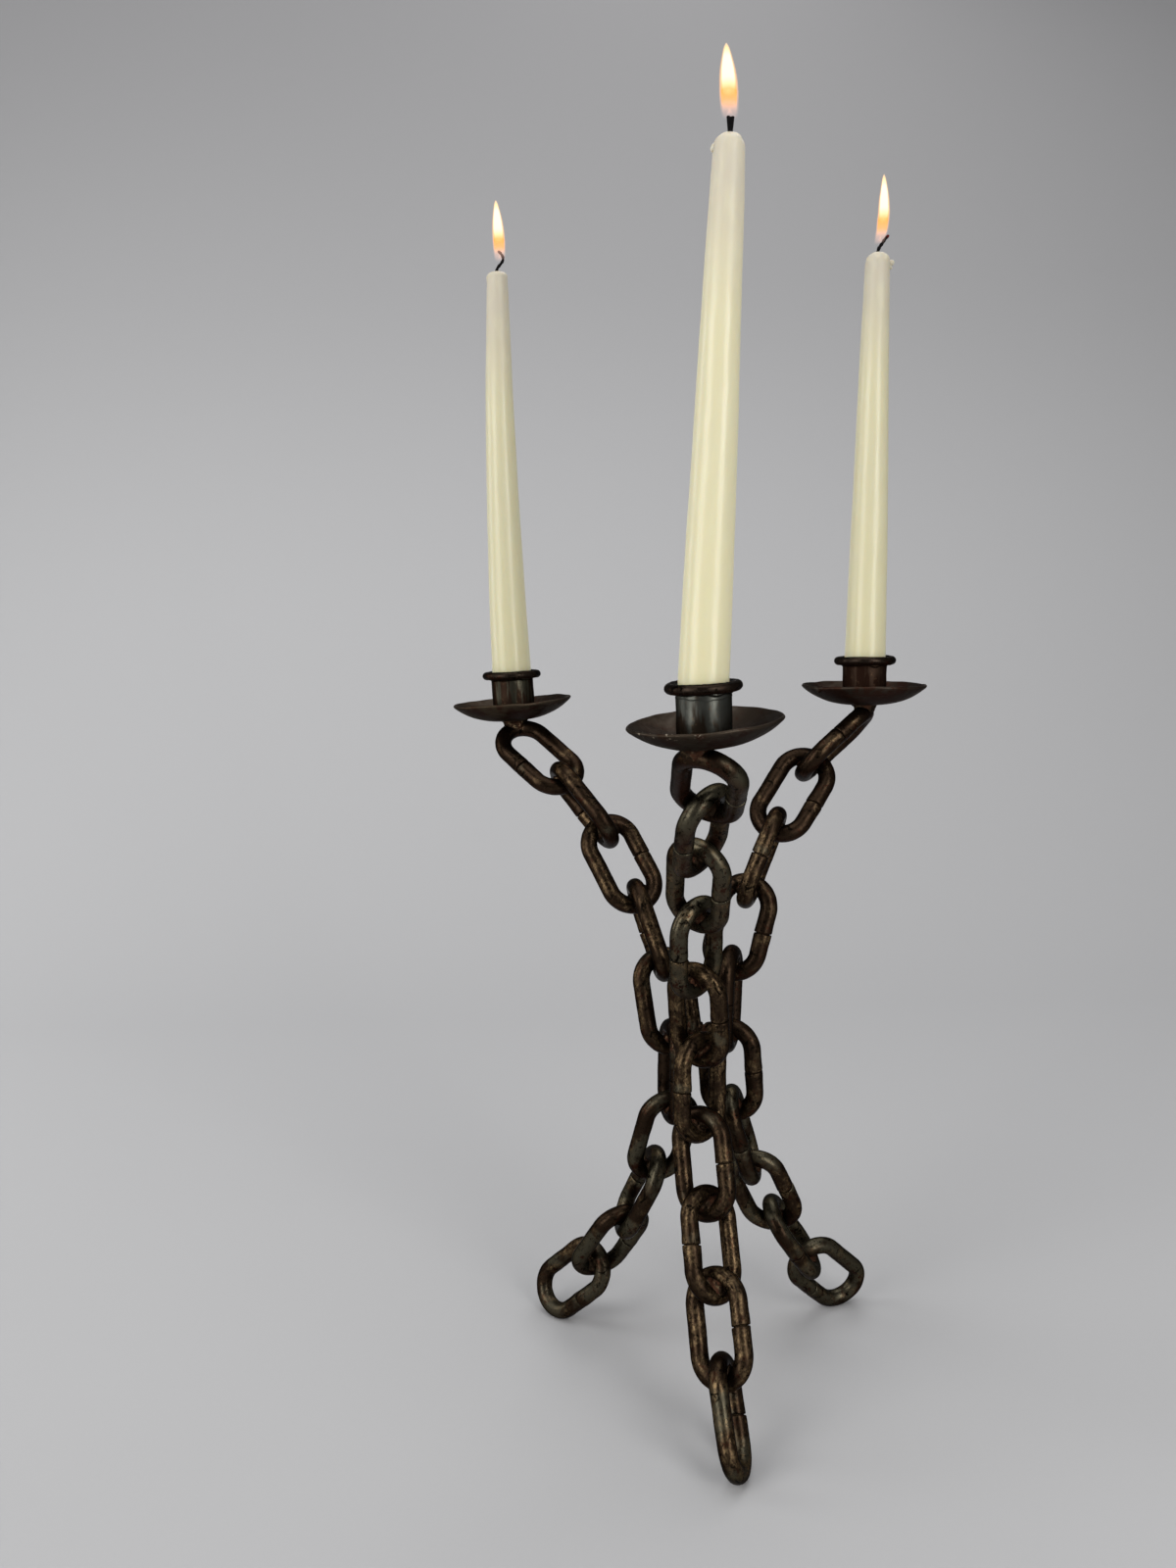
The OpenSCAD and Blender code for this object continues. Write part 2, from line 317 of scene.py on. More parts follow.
def mean_height(outline: Outline) -> float:
    """Finds the centroid of the surface that an outline makes when it is turned about Z.

    Args:
        outline: Pairs of radius and height.

    Returns:
        The centroid's height.
    """
    r, z = np.array(outline).T
    area = np.hypot(np.diff(r), np.diff(z)) * (r[:-1] + r[1:])
    return float((area * (z[:-1] + z[1:]) / 2).sum() / area.sum())


def swept(path: np.ndarray, radii: np.ndarray, sides: int) -> tuple[np.ndarray, list]:
    """Sweeps a round section along an open path and closes both ends.

    Args:
        path: Centre points.
        radii: Radius at each of them.
        sides: Points round each ring.

    Returns:
        Local points and faces.
    """
    ahead = np.gradient(path, axis=0)
    ahead /= np.linalg.norm(ahead, axis=1, keepdims=True)
    side = np.cross(ahead[0], [0.3, 0.9, 0.1])
    angles = np.linspace(0, TURN, sides, endpoint=False)
    rings = []
    for centre, way, radius in zip(path, ahead, radii):
        side = side - way * (side @ way)
        side /= np.linalg.norm(side)
        other = np.cross(way, side)
        spokes = np.cos(angles)[:, None] * side + np.sin(angles)[:, None] * other
        rings.append(centre + radius * spokes)
    points = np.vstack(rings + [path[:1], path[-1:]])
    faces = grid_faces(len(path), sides)
    low, high, last = len(points) - 2, len(points) - 1, (len(path) - 1) * sides
    for j in range(sides):
        k = (j + 1) % sides
        faces += [(low, k, j), (high, last + j, last + k)]
    return points, faces


class Sheet:
    """One material's node tree, with short calls to grow it."""

    def __init__(self, name: str) -> None:
        """Starts a material with its own shader.

        Args:
            name: Name of the material.
        """
        self.finish = bpy.data.materials.new(name)
        self.finish.use_nodes = True
        self.tree = self.finish.node_tree
        self.shader = self.tree.nodes["Principled BSDF"]

    def wire(self, source: object, socket: Socket) -> None:
        """Feeds a socket.

        Args:
            source: A constant, or the socket that is linked to it.
            socket: The socket that is fed.
        """
        if isinstance(source, Socket):
            self.tree.links.new(source, socket)
        else:
            socket.default_value = source

    def set(self, **sockets: object) -> None:
        """Sets the shader's sockets by name, with _ for a space."""
        for name, source in sockets.items():
            self.wire(source, self.shader.inputs[name.replace("_", " ")])

    def layer(self, label: str) -> Socket:
        """Reads a vector that the piece's mesh carries.

        Args:
            label: Its name, where own is the local place in metres.

        Returns:
            The vector.
        """
        node = self.tree.nodes.new("ShaderNodeAttribute")
        node.attribute_name = label
        return node.outputs["Vector"]

    def stretch(self, vector: Socket, scale: tuple[float, float, float]) -> Socket:
        """Multiplies a vector's parts.

        Args:
            vector: The vector.
            scale: A number for each part.

        Returns:
            The stretched vector.
        """
        node = self.tree.nodes.new("ShaderNodeVectorMath")
        node.operation = "MULTIPLY"
        self.wire(vector, node.inputs[0])
        node.inputs[1].default_value = scale
        return node.outputs[0]

    def parts(self, vector: Socket) -> list[Socket]:
        """Takes a vector apart.

        Args:
            vector: The vector.

        Returns:
            Its X, Y and Z parts.
        """
        node = self.tree.nodes.new("ShaderNodeSeparateXYZ")
        self.wire(vector, node.inputs[0])
        return list(node.outputs)

    def facing_down(self) -> Socket:
        """How far the surface looks down: the turned-over Z part of its normal."""
        node = self.tree.nodes.new("ShaderNodeNewGeometry")
        return self.maths("MULTIPLY", self.parts(node.outputs["Normal"])[2], -1.0)

    def noise(
        self, vector: Socket, scale: float, detail: float, rough: float, bend: float = 0
    ) -> Socket:
        """Adds a noise.

        Args:
            vector: Where it is read.
            scale: Cells in a metre.
            detail: Octaves.
            rough: Strength of the finer octaves.
            bend: Distortion.

        Returns:
            Its value.
        """
        node = self.tree.nodes.new("ShaderNodeTexNoise")
        self.wire(vector, node.inputs["Vector"])
        given = {"Scale": scale, "Detail": detail, "Roughness": rough, "Distortion": bend}
        for name, value in given.items():
            node.inputs[name].default_value = value
        return node.outputs["Fac"]

    def cells(self, vector: Socket, scale: float) -> Socket:
        """Measures the distance to the nearest of scattered points.

        Args:
            vector: Where it is read.
            scale: Points in a metre.

        Returns:
            The distance, in points' spacings.
        """
        node = self.tree.nodes.new("ShaderNodeTexVoronoi")
        self.wire(vector, node.inputs["Vector"])
        node.inputs["Scale"].default_value = scale
        return node.outputs["Distance"]

    def span(
        self, value: Socket, low: float, high: float, to_low: float = 0, to_high: float = 1
    ) -> Socket:
        """Maps a range smoothly to another one, and holds its ends beyond it.

        Args:
            value: The value.
            low: Where the range starts.
            high: Where it ends.
            to_low: What it gives at its start.
            to_high: What it gives at its end.

        Returns:
            The mapped value.
        """
        node = self.tree.nodes.new("ShaderNodeMapRange")
        node.interpolation_type = "SMOOTHSTEP"
        self.wire(value, node.inputs["Value"])
        given = {"From Min": low, "From Max": high, "To Min": to_low, "To Max": to_high}
        for name, number in given.items():
            node.inputs[name].default_value = number
        return node.outputs["Result"]

    def maths(self, kind: str, a: object, b: object) -> Socket:
        """Combines two values.

        Args:
            kind: Name of the operation.
            a: The first value.
            b: The second value.

        Returns:
            The result.
        """
        node = self.tree.nodes.new("ShaderNodeMath")
        node.operation = kind
        self.wire(a, node.inputs[0])
        self.wire(b, node.inputs[1])
        return node.outputs[0]

    def blend(self, share: Socket, under: object, over: object) -> Socket:
        """Lays one colour over another.

        Args:
            share: How much of the upper one shows.
            under: The lower colour, a socket or a constant.
            over: The upper colour, a socket or a constant.

        Returns:
            The mixed colour.
        """
        node = self.tree.nodes.new("ShaderNodeMix")
        node.data_type = "RGBA"
        self.wire(share, node.inputs["Factor"])
        for source, socket in ((under, node.inputs[6]), (over, node.inputs[7])):
            self.wire(source if isinstance(source, Socket) else (*source, 1.0), socket)
        return node.outputs[2]

    def relief(self, height: Socket, depth: float, share: float) -> None:
        """Adds fine bump to whatever bump the shader has.

        Args:
            height: The bump's height, from 0 to 1.
            depth: What 1 stands for, in metres.
            share: Strength of the bump.
        """
        node = self.tree.nodes.new("ShaderNodeBump")
        node.inputs["Strength"].default_value = share
        node.inputs["Distance"].default_value = depth
        self.wire(height, node.inputs["Height"])
        normal = self.shader.inputs["Normal"]
        if normal.is_linked:
            self.wire(normal.links[0].from_socket, node.inputs["Normal"])
        self.wire(node.outputs["Normal"], normal)


@dataclass(frozen=True)
class BarPatina:
    """Lacquered bar iron: brown, with worn brassy flecks, olive scale and rust spots, and painted
    shade: a rust tone on faces that look down and near other pieces, and near-black near other
    pieces.
    """

    name: str = "bar_patina"
    ground: Colour = (0.024, 0.0148, 0.0092)
    brass: Colour = (0.164, 0.112, 0.059)
    olive: Colour = (0.060, 0.053, 0.036)
    # The rust tone also serves as painted shade on undersides and near other pieces.
    rust: Colour = (0.030, 0.0105, 0.006)
    # Near-black of the pits and stains, and of the painted shade near other pieces.
    scale: Colour = (0.004, 0.003, 0.002)
    glint: Colour = (0.10, 0.08, 0.065)

    def make(self) -> bpy.types.Material:
        """Builds the material.

        The layer mood holds the shares of brass and olive, and the painted shade near other pieces.

        Returns:
            The material.
        """
        s = Sheet(self.name)
        way = s.layer("way")
        brassy, olive, contact_shade = s.parts(s.layer("mood"))
        run = s.stretch(way, (0.55, 1.0, 1.0))
        patches = s.noise(way, 85, 3, 0.6, 0.4)
        drift = s.noise(way, 42, 3, 0.55, 0.3)
        streaks = s.noise(run, 360, 4, 0.66, 0.5)
        flecks = s.noise(way, 820, 3, 0.7)
        grey = s.span(s.maths("ADD", drift, s.span(olive, 0, 1, -0.14, 0.14)), 0.50, 0.60)
        base = s.blend(grey, self.ground, self.olive)
        shine = s.maths("ADD", patches, s.span(brassy, 0, 1, -0.12, 0.16))
        worn = s.maths("MULTIPLY", s.span(streaks, 0.36, 0.66), s.span(shine, 0.42, 0.68))
        worn = s.maths("MULTIPLY", worn, s.span(flecks, 0.42, 0.58, 0.25, 1.0))
        base = s.blend(worn, base, self.brass)
        # Painted shade: faces that look down, and places near other pieces, take the rust tone and
        # less metal; the spots below are rust.
        low = s.maths("ADD", s.span(s.facing_down(), -0.2, 0.8, 0.0, 0.75), contact_shade)
        bloom = s.span(s.noise(way, 170, 4, 0.65, 0.5), 0.52, 0.66)
        spots = s.maths("MULTIPLY", bloom, s.span(flecks, 0.40, 0.56))
        base = s.blend(s.span(s.maths("ADD", low, spots), 0.25, 1.2), base, self.rust)
        pits = s.span(s.noise(way, 560, 4, 0.75, 0.6), 0.44, 0.33)
        stains = s.span(s.noise(way, 190, 4, 0.7, 0.8), 0.43, 0.34)
        # Painted shade: near-black where the bar comes close to other pieces.
        contact_shade_dark = s.span(contact_shade, 0.25, 0.85, 0.0, 0.95)
        black = s.maths("ADD", s.maths("MAXIMUM", pits, stains), contact_shade_dark)
        base = s.blend(black, base, self.scale)
        brushed = s.maths("ADD", flecks, s.noise(way, 150, 3, 0.6))
        s.set(
            Base_Color=base,
            Metallic=s.span(low, 0.3, 1.1, 0.92, 0.45),
            Roughness=s.span(brushed, 0.75, 1.25, 0.25, 0.44),
            Specular_Tint=(*self.glint, 1.0),
        )
        s.relief(flecks, 0.00010, 0.5)
        s.relief(s.noise(way, 230, 2, 0.5), 0.0004, 0.30)
        return s.finish


@dataclass(frozen=True)
class WeldPatina:
    """Weld metal: dark, rough and brown, with brassy tops on its ripples."""

    name: str = "weld_patina"
    ground: Colour = (0.026, 0.017, 0.011)
    tops: Colour = (0.12, 0.085, 0.048)
    rust: Colour = (0.045, 0.019, 0.011)
    glint: Colour = (0.13, 0.10, 0.08)

    def make(self) -> bpy.types.Material:
        """Builds the material.

        Returns:
            The material.
        """
        s = Sheet(self.name)
        own = s.layer("own")
        lumps = s.noise(own, 520, 4, 0.65)
        drift = s.noise(own, 170, 3, 0.6)
        base = s.blend(s.span(drift, 0.46, 0.60), self.ground, self.rust)
        base = s.blend(s.span(lumps, 0.55, 0.70), base, self.tops)
        s.set(
            Base_Color=base,
            Metallic=s.span(drift, 0.5, 0.7, 0.9, 0.4),
            Roughness=s.span(lumps, 0.3, 0.7, 0.55, 0.34),
            Specular_Tint=(*self.glint, 1.0),
        )
        s.relief(lumps, 0.0005, 0.7)
        return s.finish


@dataclass(frozen=True)
class PanPatina:
    """Dished sheet iron: satin dark brown, mottled, with pale specks along the rim."""

    name: str = "pan_patina"
    ground: Colour = (0.037, 0.028, 0.021)
    grey: Colour = (0.056, 0.046, 0.037)
    rust: Colour = (0.036, 0.017, 0.011)
    olive: Colour = (0.052, 0.038, 0.023)
    speck: Colour = (0.62, 0.54, 0.42)
    glint: Colour = (0.20, 0.17, 0.15)

    def make(self) -> bpy.types.Material:
        """Builds the material.

        The layer mood holds the shares of specks, rust and olive.

        Returns:
            The material.
        """
        s = Sheet(self.name)
        own = s.layer("own")
        specks, rusty, olive = s.parts(s.layer("mood"))
        drift = s.noise(own, 60, 4, 0.6, 0.6)
        fine = s.noise(own, 700, 4, 0.7)
        base = s.blend(s.span(drift, 0.44, 0.66), self.ground, self.grey)
        base = s.blend(olive, base, self.olive)
        # Faces that look down are a little darker and redder.
        under = s.maths("ADD", rusty, s.span(s.facing_down(), 0.2, 1.0, 0.0, 0.10))
        bloom = s.maths("ADD", s.noise(own, 130, 4, 0.65, 0.5), under)
        base = s.blend(s.span(bloom, 0.55, 0.70), base, self.rust)
        dots = s.maths("MULTIPLY", s.span(s.noise(own, 620, 2, 0.5), 0.58, 0.64), specks)
        base = s.blend(dots, base, self.speck)
        s.set(
            Base_Color=base,
            Metallic=0.85,
            Roughness=s.span(s.maths("ADD", drift, fine), 0.7, 1.3, 0.50, 0.36),
            Specular_Tint=(*self.glint, 1.0),
        )
        s.relief(fine, 0.0001, 0.5)
        s.relief(drift, 0.0006, 0.4)
        return s.finish


@dataclass(frozen=True)
class CupSteel:
    """Tube steel of one cup: smooth grey metal under streaks and runs of brown lacquer."""

    name: str
    cover: float
    steel: Colour = (0.074, 0.076, 0.067)
    lacquer: Colour = (0.024, 0.017, 0.012)
    fleck: Colour = (0.10, 0.062, 0.036)
    glint: Colour = (0.20, 0.18, 0.17)
    streaky: float = 0.3
    rough: float = 0.46

    def make(self) -> bpy.types.Material:
        """Builds the material.

        The Z part of the layer way is the height as a share of the tube's.

        Returns:
            The material.
        """
        s = Sheet(self.name)
        own, high = s.layer("own"), s.parts(s.layer("way"))[2]
        drift = s.noise(s.stretch(own, (1.0, 1.0, 0.45)), 105, 3, 0.55, 0.3)
        runs = s.noise(s.stretch(own, (1.0, 1.0, 0.06)), 330, 3, 0.6)
        mixed = s.maths("ADD", drift, s.span(runs, 0.35, 0.65, -self.streaky / 2, self.streaky / 2))
        # The tube is darker towards the bottom.
        lifted = s.maths("ADD", mixed, s.span(high, 0.0, 0.9, -0.17, 0.09))
        bare = s.span(lifted, self.cover, self.cover + 0.16)
        fine = s.noise(own, 620, 3, 0.65)
        base = s.blend(bare, self.lacquer, self.steel)
        base = s.blend(s.span(fine, 0.60, 0.74), base, self.fleck)
        s.set(
            Base_Color=base,
            Metallic=0.95,
            Roughness=s.span(s.maths("ADD", bare, fine), 0.4, 1.4, self.rough, self.rough - 0.12),
            Specular_Tint=(*self.glint, 1.0),
        )
        s.relief(fine, 0.00006, 0.5)
        s.relief(drift, 0.0008, 0.5)
        return s.finish


@dataclass(frozen=True)
class TaperWax:
    """Ivory wax, yellower to the foot, and greyer, darker and a little rosier towards the melted
    top.
    """

    name: str = "taper_wax"
    foot: Colour = (0.69, 0.65, 0.42)
    body: Colour = (0.68, 0.64, 0.43)
    top: Colour = (0.57, 0.525, 0.42)
    pale: Colour = (0.71, 0.68, 0.49)
    fleck: Colour = (0.22, 0.19, 0.14)
    tall: float = 0.22
    # Painted shade: a share that darkens every tone, for the side tapers.
    painted_dimming: float = 1.0

    def make(self) -> bpy.types.Material:
        """Builds the material, which reads local Z as the height over the cup's mouth.

        Returns:
            The material.
        """
        s = Sheet(self.name)
        own = s.layer("own")
        z = s.parts(own)[2]
        mottle = s.noise(s.stretch(own, (1.0, 1.0, 0.35)), 190, 3, 0.55)
        tones = (self.foot, self.body, self.top, self.pale)
        foot, body, top, pale = (tuple(c * self.painted_dimming for c in tone) for tone in tones)
        base = s.blend(s.span(z, 0.0, self.tall * 0.5), foot, body)
        base = s.blend(s.span(z, self.tall * 0.62, self.tall * 0.97), base, top)
        base = s.blend(s.span(mottle, 0.40, 0.75, 0.0, 0.30), base, pale)
        flecks = s.span(s.cells(own, 95), 0.035, 0.012)
        rare = s.span(s.noise(own, 55, 1, 0.5), 0.60, 0.64)
        base = s.blend(s.maths("MULTIPLY", flecks, rare), base, self.fleck)
        matt = s.span(z, self.tall * 0.62, self.tall * 0.9, 0.0, 0.24)
        s.set(
            Base_Color=base,
            Roughness=s.maths("ADD", s.span(mottle, 0.3, 0.7, 0.36, 0.28), matt),
            IOR=1.45,
            Subsurface_Weight=0.35,
            Subsurface_Radius=(0.010, 0.007, 0.004),
            Subsurface_Scale=0.6,
            Coat_Weight=0.15,
            Coat_Roughness=0.16,
        )
        s.relief(mottle, 0.0003, 0.35)
        s.relief(s.noise(own, 1400, 2, 0.5), 0.00003, 0.4)
        return s.finish


@dataclass(frozen=True)
class WickChar:
    """Charred braid: matt black over fine twisted cord, with an ember's red at its tip."""

    name: str = "wick_char"
    char: Colour = (0.0015, 0.0012, 0.0015)
    ash: Colour = (0.006, 0.005, 0.006)
    ember: Colour = (0.16, 0.012, 0.010)
    glow: float = 0.0

    def make(self) -> bpy.types.Material:
        """Builds the material.

        The X part of the layer way runs from 0 at the root to 1 at the tip.

        Returns:
            The material.
        """
        s = Sheet(self.name)
        own, share = s.layer("own"), s.parts(s.layer("way"))[0]
        braid = s.noise(s.stretch(own, (1.0, 1.0, 0.45)), 2600, 3, 0.6, 0.8)
        uneven = s.maths("ADD", share, s.span(braid, 0.3, 0.7, -0.04, 0.04))
        lit = s.span(uneven, 0.90, 0.97, 0.0, self.glow)
        base = s.blend(s.span(braid, 0.5, 0.7), self.char, self.ash)
        s.set(
            Base_Color=s.blend(lit, base, self.ember),
            Roughness=0.9,
            Specular_IOR_Level=0.15,
            Emission_Color=(*self.ember, 1.0),
            Emission_Strength=lit,
        )
        s.relief(braid, 0.0003, 0.8)
        return s.finish


@dataclass(frozen=True)
class FlameGlow:
    """Light of one layer of a candle flame, in bands of height, colour and cover."""

    name: str
    power: float
    bands: tuple

    def make(self) -> bpy.types.Material:
        """Builds the material.

        The X part of the layer way runs from 0 at the foot to 1 at the tip.

        Returns:
            The material.
        """
        s = Sheet(self.name)
        ramp = s.tree.nodes.new("ShaderNodeValToRGB")
        while len(ramp.color_ramp.elements) < len(self.bands):
            ramp.color_ramp.elements.new(0.5)
        for stop, (at, colour, cover) in zip(ramp.color_ramp.elements, self.bands):
            stop.position = at
            stop.color = (*colour, cover)
        s.wire(s.parts(s.layer("way"))[0], ramp.inputs["Fac"])
        s.set(
            Base_Color=(0.0, 0.0, 0.0, 1.0),
            Roughness=1.0,
            Specular_IOR_Level=0.0,
            Emission_Color=ramp.outputs["Color"],
            Emission_Strength=self.power,
            Alpha=ramp.outputs["Alpha"],
        )
        return s.finish


@dataclass(frozen=True)
class SweepPaper:
    """Pale paper of the floor and backdrop, with painted shade high up the backdrop."""

    name: str = "sweep_paper"
    tone: Colour = (0.456, 0.457, 0.466)
    # Tone of the painted shade high up the backdrop.
    painted_high_shade: Colour = (0.322, 0.320, 0.328)

    def make(self) -> bpy.types.Material:
        """Builds the material, with painted shade that darkens it high up the backdrop.

        Returns:
            The material.
        """
        s = Sheet(self.name)
        own = s.layer("own")
        grain = s.noise(own, 350, 3, 0.6)
        lighter = tuple(min(1.0, c * 1.02) for c in self.tone)
        base = s.blend(grain, self.tone, lighter)
        # Painted shade: the paper darkens high up the backdrop.
        s.set(
            Base_Color=s.blend(s.span(s.parts(own)[2], 0.35, 1.45), base, self.painted_high_shade),
            Roughness=0.95,
            Specular_IOR_Level=0.1,
        )
        return s.finish


@dataclass
class ChainLink:
    """One link bent from round bar, its ends butted in one limb."""

    node: str
    seed: int
    mood: tuple[float, float]
    bar_r: float = 4.7 * MM
    half_w: float = 13.1 * MM
    pitch: float = 50.0 * MM
    gap: float = 0.5 * MM
    lip_steps: tuple = (0.0, 0.0, 0.06, 0.22, 0.5, 0.9, 1.5, 2.3)
    lip_drops: tuple = (1.1, 0.5, 0.28, 0.1, 0.02, 0.0, 0.0, 0.0)
    lip_end: float = 3.4 * MM
    step: float = 0.32 * MM
    step_reach: float = 6.0 * MM
    swell_at: float = 1.6 * MM
    swell_reach: float = 3.5 * MM
    seam_band: float = 3.0 * MM
    slope_reach: float = 7.0 * MM
    # How near and how far from other pieces the painted contact shade reaches.
    contact_shade_near: float = 0.2 * MM
    contact_shade_far: float = 5.5 * MM
    drift_along: float = 0.173
    drift_round: float = 0.031
    sides: int = 24
    spacing: float = 1.1 * MM
    pose: Pose = field(init=False)
    seam_side: float = field(init=False)
    seam_slope: float = field(init=False)

    def __post_init__(self) -> None:
        """Finds the link's place, and its seam, from its CAD node."""
        middle, axes = spread(self.node)
        along, across = axes[:, 2], axes[:, 1]
        along = along * math.copysign(1, along[2])
        frame_axes = np.column_stack([np.cross(across, along), across, along])
        points, _ = node_mesh(self.node)
        local = (points - middle) @ frame_axes
        shift = (local.max(axis=0) + local.min(axis=0)) / 2
        shift[0] = 0
        self.pose = Pose(middle + frame_axes @ shift, frame_axes)
        local = local - shift
        lips = local[np.abs(local[:, 2]) < self.seam_band]
        self.seam_side = math.copysign(1, lips[:, 1].mean())
        off = lips[:, 1] - lips[:, 1].mean()
        self.seam_slope = float((off * lips[:, 2]).sum() / (off * off).sum())

    def crown(self, upper: bool) -> np.ndarray:
        """The middle of the bar at the upper or lower end, in the row frame."""
        return self.pose.outwards(np.array([0, 0, self.pitch / 2 if upper else -self.pitch / 2]))

    def distance(self, points: np.ndarray) -> np.ndarray:
        """Measures how far points are from the bar's surface.

        Args:
            points: Places in the row frame.

        Returns:
            The distances, negative inside the bar.
        """
        local = self.pose.inwards(points)
        beyond = np.maximum(np.abs(local[:, 2]) - (self.pitch / 2 - self.half_w), 0)
        flat = np.abs(np.hypot(local[:, 1], beyond) - self.half_w)
        return np.hypot(local[:, 0], flat) - self.bar_r

    def centre_line(self, along: np.ndarray) -> tuple[np.ndarray, np.ndarray, np.ndarray]:
        """Follows the bar from the seam, up and round.

        Args:
            along: Lengths from the seam's middle.

        Returns:
            Local centre points, outward directions and forward directions.
        """
        limb = self.pitch / 2 - self.half_w
        bend = math.pi * self.half_w
        spans = (limb, bend, 2 * limb, bend, limb)
        start = np.concatenate([[0], np.cumsum(spans)])
        centre, outward, ahead = (np.zeros((len(along), 3)) for _ in range(3))
        for i, t in enumerate(along):
            leg = min(int(np.searchsorted(start, t, side="right")) - 1, 4)
            d = t - start[leg]
            if leg in (1, 3):
                turn = d / self.half_w + (0 if leg == 1 else math.pi)
                n = (math.cos(turn), math.sin(turn))
                lift = limb if leg == 1 else -limb
                at = (self.half_w * n[0], lift + self.half_w * n[1])
            else:
                n = (-1.0, 0.0) if leg == 2 else (1.0, 0.0)
                height = {0: d, 2: limb - d, 4: d - limb}[leg]
                at = (self.half_w * n[0], height)
            centre[i] = (0, at[0] * self.seam_side, at[1])
            outward[i] = (0, n[0] * self.seam_side, n[1])
            ahead[i] = (0, -n[1] * self.seam_side, n[0])
        return centre, outward, ahead

    def build(self, finish: bpy.types.Material, neighbours: list) -> bpy.types.Object:
        """Sweeps the bar, swells and steps its ends, and sinks the seam between them.

        Args:
            finish: Material of the bar.
            neighbours: Links that it touches, near which it gets painted shade.

        Returns:
            The link, riding on the frame.
        """
        rng = np.random.default_rng(self.seed)
        total = 4 * (self.pitch / 2 - self.half_w) + TURN * self.half_w
        edge = np.array(self.lip_steps) * MM + self.gap / 2
        inner = np.linspace(self.lip_end, total - self.lip_end, int(total / self.spacing))
        along = np.concatenate([edge, inner, total - edge[::-1]])
        drop = np.array(self.lip_drops) * MM
        sink = np.concatenate([drop, np.zeros(len(inner)), drop[::-1]])
        centre, outward, ahead = self.centre_line(along)
        angles = np.linspace(0, TURN, self.sides, endpoint=False)
        near = np.minimum(along, total - along)
        sign = np.where(along < total / 2, 1.0, -1.0)
        swell = rng.uniform(0.05, 0.22) * MM * hump(near - self.swell_at, self.swell_reach)
        nudge = rng.normal(size=2)
        nudge *= self.step * rng.uniform(0.3, 1.0) / np.linalg.norm(nudge) / 2
        fade = sign * hump(near, self.step_reach)
        across = np.array([1.0, 0.0, 0.0])
        rings = []
        for i in range(len(along)):
            ring_dir = np.cos(angles)[:, None] * outward[i] + np.sin(angles)[:, None] * across
            base = centre[i] + fade[i] * (nudge[0] * outward[i] + nudge[1] * across)
            radius = self.bar_r + swell[i] - sink[i]
            slide = self.seam_slope * self.seam_side * np.cos(angles) * radius
            slide *= math.exp(-(near[i] / self.slope_reach) ** 2)
            rings.append(base + radius * ring_dir + slide[:, None] * ahead[i])
        points = np.vstack(rings)
        ways = np.vstack([
            beside(
                t + self.drift_along * self.seed,
                self.bar_r * np.cos(angles) + self.drift_round * self.seed,
                self.bar_r * np.sin(angles),
            )
            for t in along
        ])
        normal = points - np.repeat(centre, self.sides, axis=0)
        normal /= np.linalg.norm(normal, axis=1, keepdims=True)
        rough = 0.055 * MM * ripple(points, self.seed, 16 * MM)
        rough += 0.022 * MM * ripple(points, self.seed + 500, 4 * MM)
        points = points + normal * rough[:, None]
        faces = grid_faces(len(along), self.sides, closed=True)
        there = self.pose.outwards(points)
        near_by = np.full(len(points), 1.0)
        for other in neighbours:
            near_by = np.minimum(near_by, other.distance(there))
        # Painted shade, darkest where the bar nears its neighbours.
        contact_shade = 1 - smooth_step(self.contact_shade_near, self.contact_shade_far, near_by)
        link = mesh_piece(
            self.node + "_forged", points, faces, self.pose, finish,
            way=ways, mood=beside(*self.mood, contact_shade),
        )
        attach(link, "frame")
        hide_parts(self.node)
        return link


def ball() -> tuple[np.ndarray, list]:
    """Gives an even ball of radius 1.

    Returns:
        Points and faces.
    """
    form = bmesh.new()
    bmesh.ops.create_icosphere(form, subdivisions=BALL_CUTS, radius=1)
    points = np.array([v.co for v in form.verts])
    faces = [tuple(v.index for v in f.verts) for f in form.faces]
    form.free()
    return points, faces


@dataclass
class WeldBlob:
    """Weld metal drawn between bars: a ball of it, pulled in to a fillet where the bars meet."""

    centre: np.ndarray
    bodies: list
    reach: float
    blend: float
    seed: int
    inset: float = 0.12 * MM
    lumps: float = 0.35 * MM
    lump_long: float = 3.4 * MM
    dip: float = -0.3
    uneven: float = 0.10
    samples: int = 26
    stretch: tuple = (1.0, 1.0, 1.0)

    def field(self, points: np.ndarray) -> np.ndarray:
        """Measures how far points are from the weld's surface round the bars.

        Args:
            points: Places in the row frame.

        Returns:
            The distances to the filleted bars, with lumps, less the inset.
        """
        value = self.bodies[0](points)
        for other in self.bodies[1:]:
            value = smooth_union(value, other(points), self.blend)
        lumpy = np.maximum(ripple(points, self.seed, self.lump_long), self.dip)
        return value + self.inset - self.lumps * lumpy

    def form(self) -> tuple[np.ndarray, list]:
        """Grows the weld from its middle.

        Returns:
            Points in the row frame, and faces.
        """
        ways, faces = ball()
        limit = self.reach * (1 + self.uneven * ripple(ways * 6 * MM, self.seed + 7, 9 * MM))
        limit = limit * np.linalg.norm(ways * np.array(self.stretch), axis=1)
        found = np.full(len(ways), 1.0)
        done = np.zeros(len(ways), bool)
        before = self.field(self.centre + ways * (limit * 0.02)[:, None])
        for k in range(1, self.samples + 1):
            share = k / self.samples
            value = self.field(self.centre + ways * (limit * share)[:, None])
            hit = ~done & (value > 0)
            back = np.where(value > before, before / (before - value), 0)
            found[hit] = share - (1 - np.clip(back[hit], 0, 1)) / self.samples
            done |= hit
            before = value
        return self.centre + ways * (limit * np.clip(found, 0.05, 1))[:, None], faces


